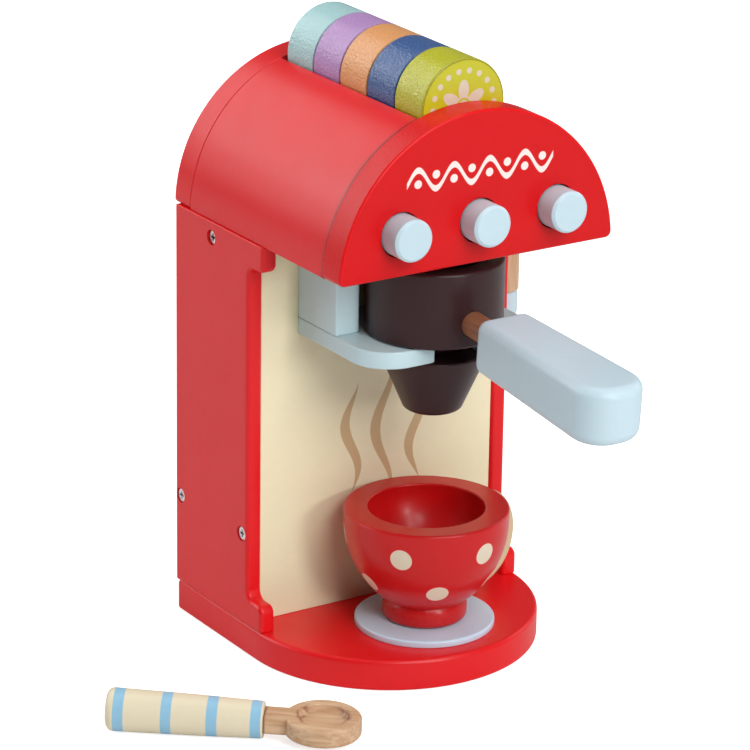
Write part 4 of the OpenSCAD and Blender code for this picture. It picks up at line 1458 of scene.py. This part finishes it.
def cup_side(sizes, height):
    """Outer half of the cup as (radius, height) points over its foot."""
    top = height - sizes.rim_h
    radius = (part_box("cup_body")[1].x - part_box("cup_body")[0].x) / 2
    curve_x = radius - sizes.curve_r
    lowest = -math.degrees(math.asin((top - sizes.foot_h) / sizes.curve_r))
    foot_edge, groove = sizes.foot_edge_r, 0.5 * MM
    waist_h = sizes.foot_h - groove
    bulge_h = foot_edge + 0.3 * (waist_h - foot_edge)
    bulge_r = ((waist_h - bulge_h) ** 2 / (sizes.foot_r - sizes.waist_r) + sizes.foot_r - sizes.waist_r) / 2
    upper = math.degrees(math.asin((waist_h - bulge_h) / bulge_r))
    lower = -math.degrees(math.asin((bulge_h - foot_edge) / bulge_r))
    points = [(POLE_R, 0)]
    points += arc((sizes.foot_r - foot_edge, foot_edge), foot_edge, -90, lower, 8)
    points += arc((sizes.foot_r - bulge_r, bulge_h), bulge_r, lower, upper, 8)[1:]
    points += arc((curve_x, top), sizes.curve_r, lowest, 0, 30)
    points += arc((radius - sizes.rim_edge_r, height - sizes.rim_edge_r), sizes.rim_edge_r, 0, 90, 6)
    return points


def painted_dots(finish):
    """Two rows of dots round the cup."""
    sizes = settings_of(bpy.context).cup
    paints = settings_of(bpy.context).paints
    foot = cup_middle()
    upper = (34.4 * MM, 37.6 * MM, (32, 92, 152, 219, 282, 340))
    lower = (28.0 * MM, 20.5 * MM, (2, 62, 122, 180.5, 247, 308))
    nearest = None
    for radius, height, turns in (upper, lower):
        for degrees in turns:
            around = math.radians(degrees)
            middle_of_dot = foot + Vector((radius * math.cos(around), radius * math.sin(around), height))
            reach = finish.distance(middle_of_dot)
            nearest = reach if nearest is None else nearest.least(reach)
    rim = nearest.below(sizes.dot_r, 0.25 * MM)
    heart = nearest.below(sizes.dot_r - 0.5 * MM, 0.4 * MM)
    return [(rim, paints.print_edge), (heart, paints.print_cream)]


def cup_foot(finish):
    """1 on the cup's foot, 0 over it."""
    _, _, z = finish.axes(finish.place)
    return z.below(cup_middle().z + settings_of(bpy.context).cup.foot_h, 1 * MM)


class TOY_OT_cup(Maker, bpy.types.Operator):
    """Cup with painted dots, and its ring handle"""

    bl_idname = "toy.cup"
    bl_label = "Cup"

    def execute(self, context):
        sizes = settings_of(context).cup
        paints = settings_of(context).paints
        low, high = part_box("cup_body")
        height = high.z - low.z
        place = Matrix.Translation(cup_middle())
        side = cup_side(sizes, height)
        lip, hollow_top = 0.8 * MM, height - sizes.hollow_h
        outline = side + arc((sizes.hollow_r + lip, height - lip), lip, 90, 180, 4)
        outline += arc((0, hollow_top), sizes.hollow_r, 0, -89, 26)
        cup = turned("cup_body_painted", outline, place)
        # Painted shade: the cup's foot is painted 8 % darker.
        cup_paint = material(
            "cup_paint", paint, paints.cup_red, ornament=painted_dots, coat=0.2, peel=0.8, end_grain=cup_foot,
            grain_tone=-0.08,
        )
        dress(cup, "cup_body", cup_paint, 50)

        loop = rod("cup_handle_painted", (0, 0, -sizes.loop_t / 2), ALONG_Z, sizes.loop_r, sizes.loop_t)
        combine(loop, rod("hole", (0, 0, -sizes.loop_t), ALONG_Z, sizes.loop_hole_r, 2 * sizes.loop_t))
        soften(loop, sizes.loop_edge_r, 6, 50)
        stand = Matrix.Translation(cup_middle() + ALONG_Z * sizes.loop_z)
        stand = stand @ Matrix.Rotation(sizes.loop_turn, 4, "Z") @ Matrix.Translation((sizes.loop_out, 0, 0))
        settle(loop, stand @ Matrix.Rotation(math.radians(90), 4, "X"))
        inside = turned("inside", [*side, (POLE_R, height)], place)
        combine(loop, inside)
        dress(loop, "cup_handle", material("tan_paint", paint, paints.tan), 50)
        return {"FINISHED"}


# ---------- steam wand ----------


class TOY_OT_wand(Maker, bpy.types.Operator):
    """Steam wand with its painted nozzle"""

    bl_idname = "toy.wand"
    bl_label = "Steam wand"

    def execute(self, context):
        sizes = settings_of(context).wand
        low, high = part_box("wand_arm")
        radius, edge_r = (high.x - low.x) / 2, sizes.edge_r
        place = Matrix.Translation(axis_on_floor("wand_arm"))
        hole_r, hole_end = sizes.peg_r + PEG_GAP, low.z + sizes.peg_l + PEG_GAP
        outline = [(POLE_R, hole_end), (hole_r, hole_end), (hole_r, low.z)]
        outline += [(radius - 0.4 * MM, low.z), (radius, low.z + 0.4 * MM)]
        outline += [*arc((radius - edge_r, high.z - edge_r), edge_r, 0, 90, 6), (POLE_R, high.z)]
        wand = turned("wand_arm_turned", outline, place)
        pivot_low, pivot_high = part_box("wand_pivot")
        pivot = (pivot_low + pivot_high) / 2
        pivot_r = (pivot_high.z - pivot_low.z) / 2 + PEG_GAP
        pivot_hole_l = pivot_high.x + PEG_GAP - (low.x - OVER)
        combine(wand, rod("hole", (low.x - OVER, pivot.y, pivot.z), ALONG_X, pivot_r, pivot_hole_l, 48))
        dress(wand, "wand_arm", beech(context, "wand_wood", (0, math.radians(90), 0)), 50)

        low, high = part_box("wand_nozzle")
        arm_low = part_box("wand_arm")[0].z
        radius, edge_r = (high.x - low.x) / 2, sizes.tip_edge_r
        outline = [(POLE_R, low.z), *arc((radius - edge_r, low.z + edge_r), edge_r, -90, 0, 7)]
        outline += [(radius, arm_low - 0.5 * MM), (radius - 0.5 * MM, arm_low), (sizes.peg_r, arm_low)]
        outline += [(sizes.peg_r, arm_low + sizes.peg_l), (POLE_R, arm_low + sizes.peg_l)]
        dress(turned("wand_nozzle_painted", outline, place), "wand_nozzle", sky_paint(context), 50)
        return {"FINISHED"}


# ---------- spoon ----------


def spoon_matrix(sizes):
    """The spoon's axis: its +X runs from the handle's free end towards the bowl."""
    end = Matrix.Translation((-sizes.end_x, -sizes.end_y, sizes.end_z))
    return end @ Matrix.Rotation(-sizes.turned, 4, "Z") @ Matrix.Rotation(sizes.slope, 4, "Y")


def spoon_axes(finish):
    """Distances along the spoon's axis, across it and up from it."""
    sizes = settings_of(bpy.context).spoon
    end = (-sizes.end_x, -sizes.end_y, sizes.end_z)
    return finish.axes(finish.moved(place=end, rotation=(0, sizes.slope, -sizes.turned)))


def spoon_stripes(finish):
    """Four pale blue bands round the spoon's handle."""
    paints = settings_of(bpy.context).paints
    along, _, _ = spoon_axes(finish)
    mask = None
    for start, end in ((3.3, 7.6), (22.7, 26.9), (41.1, 45.5), (58.9, 63.1)):
        band = (along - (start + end) / 2 * MM).size().below((end - start) / 2 * MM, 0.15 * MM)
        mask = band if mask is None else mask.most(band)
    return [(mask, paints.stripe_blue)]


def dish_marks_and_joint_shade(finish):
    """Torn end grain on the dish's wall, and painted shade in the gap where the neck meets the handle."""
    sizes = settings_of(bpy.context).spoon
    along, across, _ = spoon_axes(finish)
    out = along - (sizes.grip_l + sizes.scoop_out)
    reach = (out * out + across * across).math("SQRT")
    wall = (reach - (sizes.dish_r - 0.7 * MM)).size().below(1.5 * MM, 1.2 * MM)
    ends = (out.size() / sizes.dish_r - 0.45).math("MULTIPLY", 3, clamp=True)
    torn = (finish.noise(1.4 * MM, 3) * 4 - 1.4).math("MULTIPLY", 1, clamp=True)
    # Painted shade in the gap where the neck meets the handle.
    joint = (along - sizes.grip_l).below(0.8 * MM, 0.8 * MM)
    torn_and_shade_colour = settings_of(bpy.context).paints.torn_grain_and_joint_shade
    return [(wall * ends * torn * 0.8, torn_and_shade_colour), (joint * 0.9, torn_and_shade_colour)]


class TOY_OT_spoon(Maker, bpy.types.Operator):
    """Spoon: a striped handle and a bare wooden bowl board"""

    bl_idname = "toy.spoon"
    bl_label = "Spoon"

    def execute(self, context):
        sizes = settings_of(context).spoon
        paints = settings_of(context).paints
        to_handle = spoon_matrix(sizes) @ Matrix.Rotation(math.radians(90), 4, "Y")
        end_r, inner_edge = sizes.grip_end_r, 0.8 * MM
        outline = [(POLE_R, 0), *arc((sizes.grip_r0 - end_r, end_r), end_r, -90, 0, 8)]
        outline += [(sizes.grip_mid_r, sizes.grip_mid_l)]
        outline += [*arc((sizes.grip_r1 - inner_edge, sizes.grip_l - inner_edge), inner_edge, 0, 90, 4)]
        hole_r, hole_end = sizes.scoop_t / 2 + PEG_GAP, sizes.grip_l - sizes.tenon_l - PEG_GAP
        outline += [(hole_r, sizes.grip_l), (hole_r, hole_end), (POLE_R, hole_end)]
        grip = turned("spoon_handle_painted", outline, to_handle)
        dress(grip, "spoon_handle", material("spoon_paint", paint, paints.cream, ornament=spoon_stripes), 50)

        half_t, edge_r = sizes.scoop_t / 2, sizes.scoop_edge_r
        bowl_x = sizes.grip_l + sizes.scoop_out
        lip, wall_r, floor_z = 0.5 * MM, sizes.dish_wall_r, half_t - sizes.dish_d
        outline = [(POLE_R, -half_t), *arc((sizes.scoop_r - edge_r, edge_r - half_t), edge_r, -90, 0, 5)]
        outline += arc((sizes.scoop_r - edge_r, half_t - edge_r), edge_r, 0, 90, 5)
        outline += arc((sizes.dish_r + lip, half_t - lip), lip, 90, 180, 4)
        outline += [*arc((sizes.dish_r - wall_r, floor_z + wall_r), wall_r, 0, -90, 6), (POLE_R, floor_z)]
        scoop = turned("spoon_scoop_bare", outline, Matrix.Translation((bowl_x, 0, 0)))
        neck_low = (sizes.grip_l + 0.02 * MM, -sizes.neck_w / 2, -half_t)
        neck_end = bowl_x - (sizes.dish_r + lip + sizes.scoop_r - edge_r) / 2
        neck = block("neck", neck_low, (neck_end, sizes.neck_w / 2, half_t))
        round_off(neck, edge_r, 5, lambda edge: runs_along(edge, ALONG_X))
        round_off(neck, 0.4 * MM, 2, lambda edge: sharp(edge) and near(middle(edge).x, neck_low[0]))
        start = (sizes.grip_l - sizes.tenon_l, 0, 0)
        combine(neck, rod("tenon", start, ALONG_X, half_t - 2 * PEG_GAP, sizes.tenon_l + 2 * MM, 64), "UNION")
        combine(scoop, neck, "UNION")
        settle(scoop, spoon_matrix(sizes))
        wood = beech(context, "scoop_wood", (0, sizes.slope, -sizes.turned), dish_marks_and_joint_shade)
        dress(scoop, "spoon_scoop", wood, 50)
        return {"FINISHED"}


# ---------- screws ----------


def screw_cross_shade(finish):
    """1 inside the cross of a side screw's head, 0 on its face: where painted shade darkens the steel."""
    face_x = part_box("side_screws_right")[1].x - settings_of(bpy.context).screws.sunk
    x, _, _ = finish.axes(finish.place)
    return x.size().below(face_x - 0.45 * MM, 0.4 * MM)


class TOY_OT_side_screws(Maker, bpy.types.Operator):
    """Three screws in each side panel"""

    bl_idname = "toy.side_screws"
    bl_label = "Side screws"

    def execute(self, context):
        sizes = settings_of(context).screws
        panel_low, panel_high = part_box("side_panel_left")
        for side, inwards in (("left", 1), ("right", -1)):
            node = f"side_screws_{side}"
            axis = ALONG_X * inwards
            made = []
            for spot, start, end in screw_axes(node, axis):
                place = Matrix.Translation(spot + axis * start)
                place = place @ Matrix.Rotation(math.radians(90 * inwards), 4, "Y")
                reach = end - start
                is_upper = spot.z > (panel_low.z + panel_high.z) / 2
                sunk = sizes.sunk if is_upper else sizes.low_sunk
                pole_r, edge = 0.3 * MM, 0.35 * MM
                outline = [
                    (pole_r, sunk), (sizes.head_r - edge, sunk), (sizes.head_r, sunk + edge),
                    (sizes.head_r, sizes.head_t), (sizes.shank_r, sizes.head_t),
                    (sizes.shank_r, reach - sizes.shank_r), (pole_r, reach),
                ]
                screw = turned("screw", outline, sides=48)
                half_cross, half_arm = sizes.cross_w / 2, CROSS_REACH * sizes.head_r
                for half_w, half_l in ((half_cross, half_arm), (half_arm, half_cross)):
                    top = (half_w, half_l, sunk + sizes.cross_d)
                    combine(screw, block("cross", (-half_w, -half_l, -OVER), top))
                settle(screw, place)
                made.append(screw)
            only(made[0])
            for screw in made:
                screw.select_set(True)
            bpy.ops.object.join()
            screws = context.active_object
            screws.name = f"{node}_plated"
            screws.data.name = screws.name
            plated = material("screw_steel", steel, linear(232, 230, 232), 0.3, screw_cross_shade)
            dress(screws, node, plated, 35)
        return {"FINISHED"}


# ---------- stage ----------


def softbox(name, place, width, height, power):
    """A large area lamp that looks at the toy's middle."""
    bpy.ops.object.light_add(type="AREA", location=place)
    lamp = bpy.context.active_object
    lamp.name = name
    lamp.data.shape = "RECTANGLE"
    lamp.data.size = width
    lamp.data.size_y = height
    lamp.data.energy = power
    lamp.rotation_euler = (Vector(AIM) - Vector(place)).to_track_quat("-Z", "Y").to_euler()
    return lamp


def camera_rays(tree):
    """The light path, and a field that is 1 where the camera looks, also through glass."""
    rays = tree.nodes.new("ShaderNodeLightPath")
    through_glass = Field(tree, rays.outputs["Is Transmission Ray"])
    return rays, Field(tree, rays.outputs["Is Camera Ray"]).most(through_glass)


class TOY_OT_stage(Maker, bpy.types.Operator):
    """Pale floor, bright surroundings, softboxes all round and the camera"""

    bl_idname = "toy.stage"
    bl_label = "Stage"

    def execute(self, context):
        stage = settings_of(context).stage
        bpy.ops.object.select_all(action="DESELECT")
        bpy.ops.mesh.primitive_circle_add(vertices=64, radius=FLOOR_R, fill_type="NGON", location=(0, 0, 0))
        floor = new_piece("studio_floor")
        floor.data.materials.append(self.floor_material())
        self.surroundings(context.scene, stage)
        for name, place, width, height in SOFTBOXES:
            softbox(f"{name}_softbox", place, width, height, getattr(stage, f"{name}_power"))
        self.camera(context.scene, stage)
        context.scene.view_settings.view_transform = "Standard"
        return {"FINISHED"}

    def floor_material(self):
        """A white floor: it keeps a soft shadow and looks as bright as the surroundings to the camera."""
        made = bpy.data.materials.new("floor_white")
        made.use_nodes = True
        tree = made.node_tree
        shader = tree.nodes["Principled BSDF"]
        shader.inputs["Base Color"].default_value = (0.82, 0.82, 0.82, 1)
        shader.inputs["Roughness"].default_value = 0.9
        shader.inputs["Specular IOR Level"].default_value = 0.0
        shader.inputs["Emission Color"].default_value = (1, 1, 1, 1)
        place = tree.nodes.new("ShaderNodeTexCoord")
        away = tree.nodes.new("ShaderNodeVectorMath")
        away.operation = "LENGTH"
        tree.links.new(place.outputs["Object"], away.inputs[0])
        glow_start, glow_reach = 0.5, 1.0
        far = (Field(tree, away.outputs["Value"]) - glow_start).math("DIVIDE", glow_reach, clamp=True)
        _, seen = camera_rays(tree)
        near_glow, further_glow = 0.72, 0.28
        glow = seen * (far * further_glow + near_glow)
        tree.links.new(glow.socket, shader.inputs["Emission Strength"])
        return made

    def surroundings(self, scene, stage):
        scene.world = bpy.data.worlds.new("studio")
        scene.world.use_nodes = True
        tree = scene.world.node_tree
        background = tree.nodes["Background"]
        background.inputs["Color"].default_value = (1, 1, 1, 1)
        rays, seen = camera_rays(tree)
        glossy = Field(tree, rays.outputs["Is Glossy Ray"])
        gloss = glossy * (stage.sky_gloss - stage.sky_light) + stage.sky_light
        strength = gloss.most(seen)
        tree.links.new(strength.socket, background.inputs["Strength"])

    def camera(self, scene, stage):
        azimuth, elevation, roll = stage.azimuth, stage.elevation, stage.roll
        back = Vector((
            math.sin(azimuth) * math.cos(elevation), -math.cos(azimuth) * math.cos(elevation),
            math.sin(elevation),
        ))
        level = Vector((math.cos(azimuth), math.sin(azimuth), 0))
        upright = back.cross(level)
        right = level * math.cos(roll) + upright * math.sin(roll)
        up = upright * math.cos(roll) - level * math.sin(roll)
        bpy.ops.object.camera_add(location=stage.camera_place)
        camera = bpy.context.active_object
        camera.name = "camera"
        camera.rotation_euler = Matrix((right, up, back)).transposed().to_euler()
        camera.data.lens = stage.lens
        camera.data.sensor_width = 36
        camera.data.clip_end = 50
        scene.camera = camera


# ---------- panel and registration ----------

MAKERS = (
    TOY_OT_stage, TOY_OT_base_board, TOY_OT_side_panels, TOY_OT_front_and_back, TOY_OT_arched_boards,
    TOY_OT_roof_panels, TOY_OT_inner_boards, TOY_OT_pods, TOY_OT_buttons, TOY_OT_springs, TOY_OT_fork,
    TOY_OT_filter, TOY_OT_handle, TOY_OT_drip_disc, TOY_OT_cup, TOY_OT_wand, TOY_OT_spoon,
    TOY_OT_side_screws,
)


class TOY_PT_maker(bpy.types.Panel):
    """Lists what can be made"""

    bl_idname = "TOY_PT_maker"
    bl_label = "Toy coffee maker"
    bl_space_type = "VIEW_3D"
    bl_region_type = "UI"
    bl_category = "Toy coffee maker"

    def draw(self, context):
        for maker in MAKERS:
            self.layout.operator(maker.bl_idname)


SETTINGS = (
    BoardSizes, ButtonSizes, FilterSizes, CupSizes, WandSizes, SpoonSizes, ScrewSizes, PaintColours,
    StageSettings, ToySettings,
)


def register():
    for kind in (*SETTINGS, *MAKERS, TOY_PT_maker):
        bpy.utils.register_class(kind)
    bpy.types.Scene.toy_coffee_maker = bpy.props.PointerProperty(
        type=ToySettings, name="Toy coffee maker", description="Sizes, colours and lights of the toy",
    )


def unregister():
    del bpy.types.Scene.toy_coffee_maker
    for kind in reversed((*SETTINGS, *MAKERS, TOY_PT_maker)):
        bpy.utils.unregister_class(kind)


def main():
    register()
    for maker in MAKERS:
        group, name = maker.bl_idname.split(".")
        getattr(getattr(bpy.ops, group), name)()


if __name__ == "__main__":
    main()
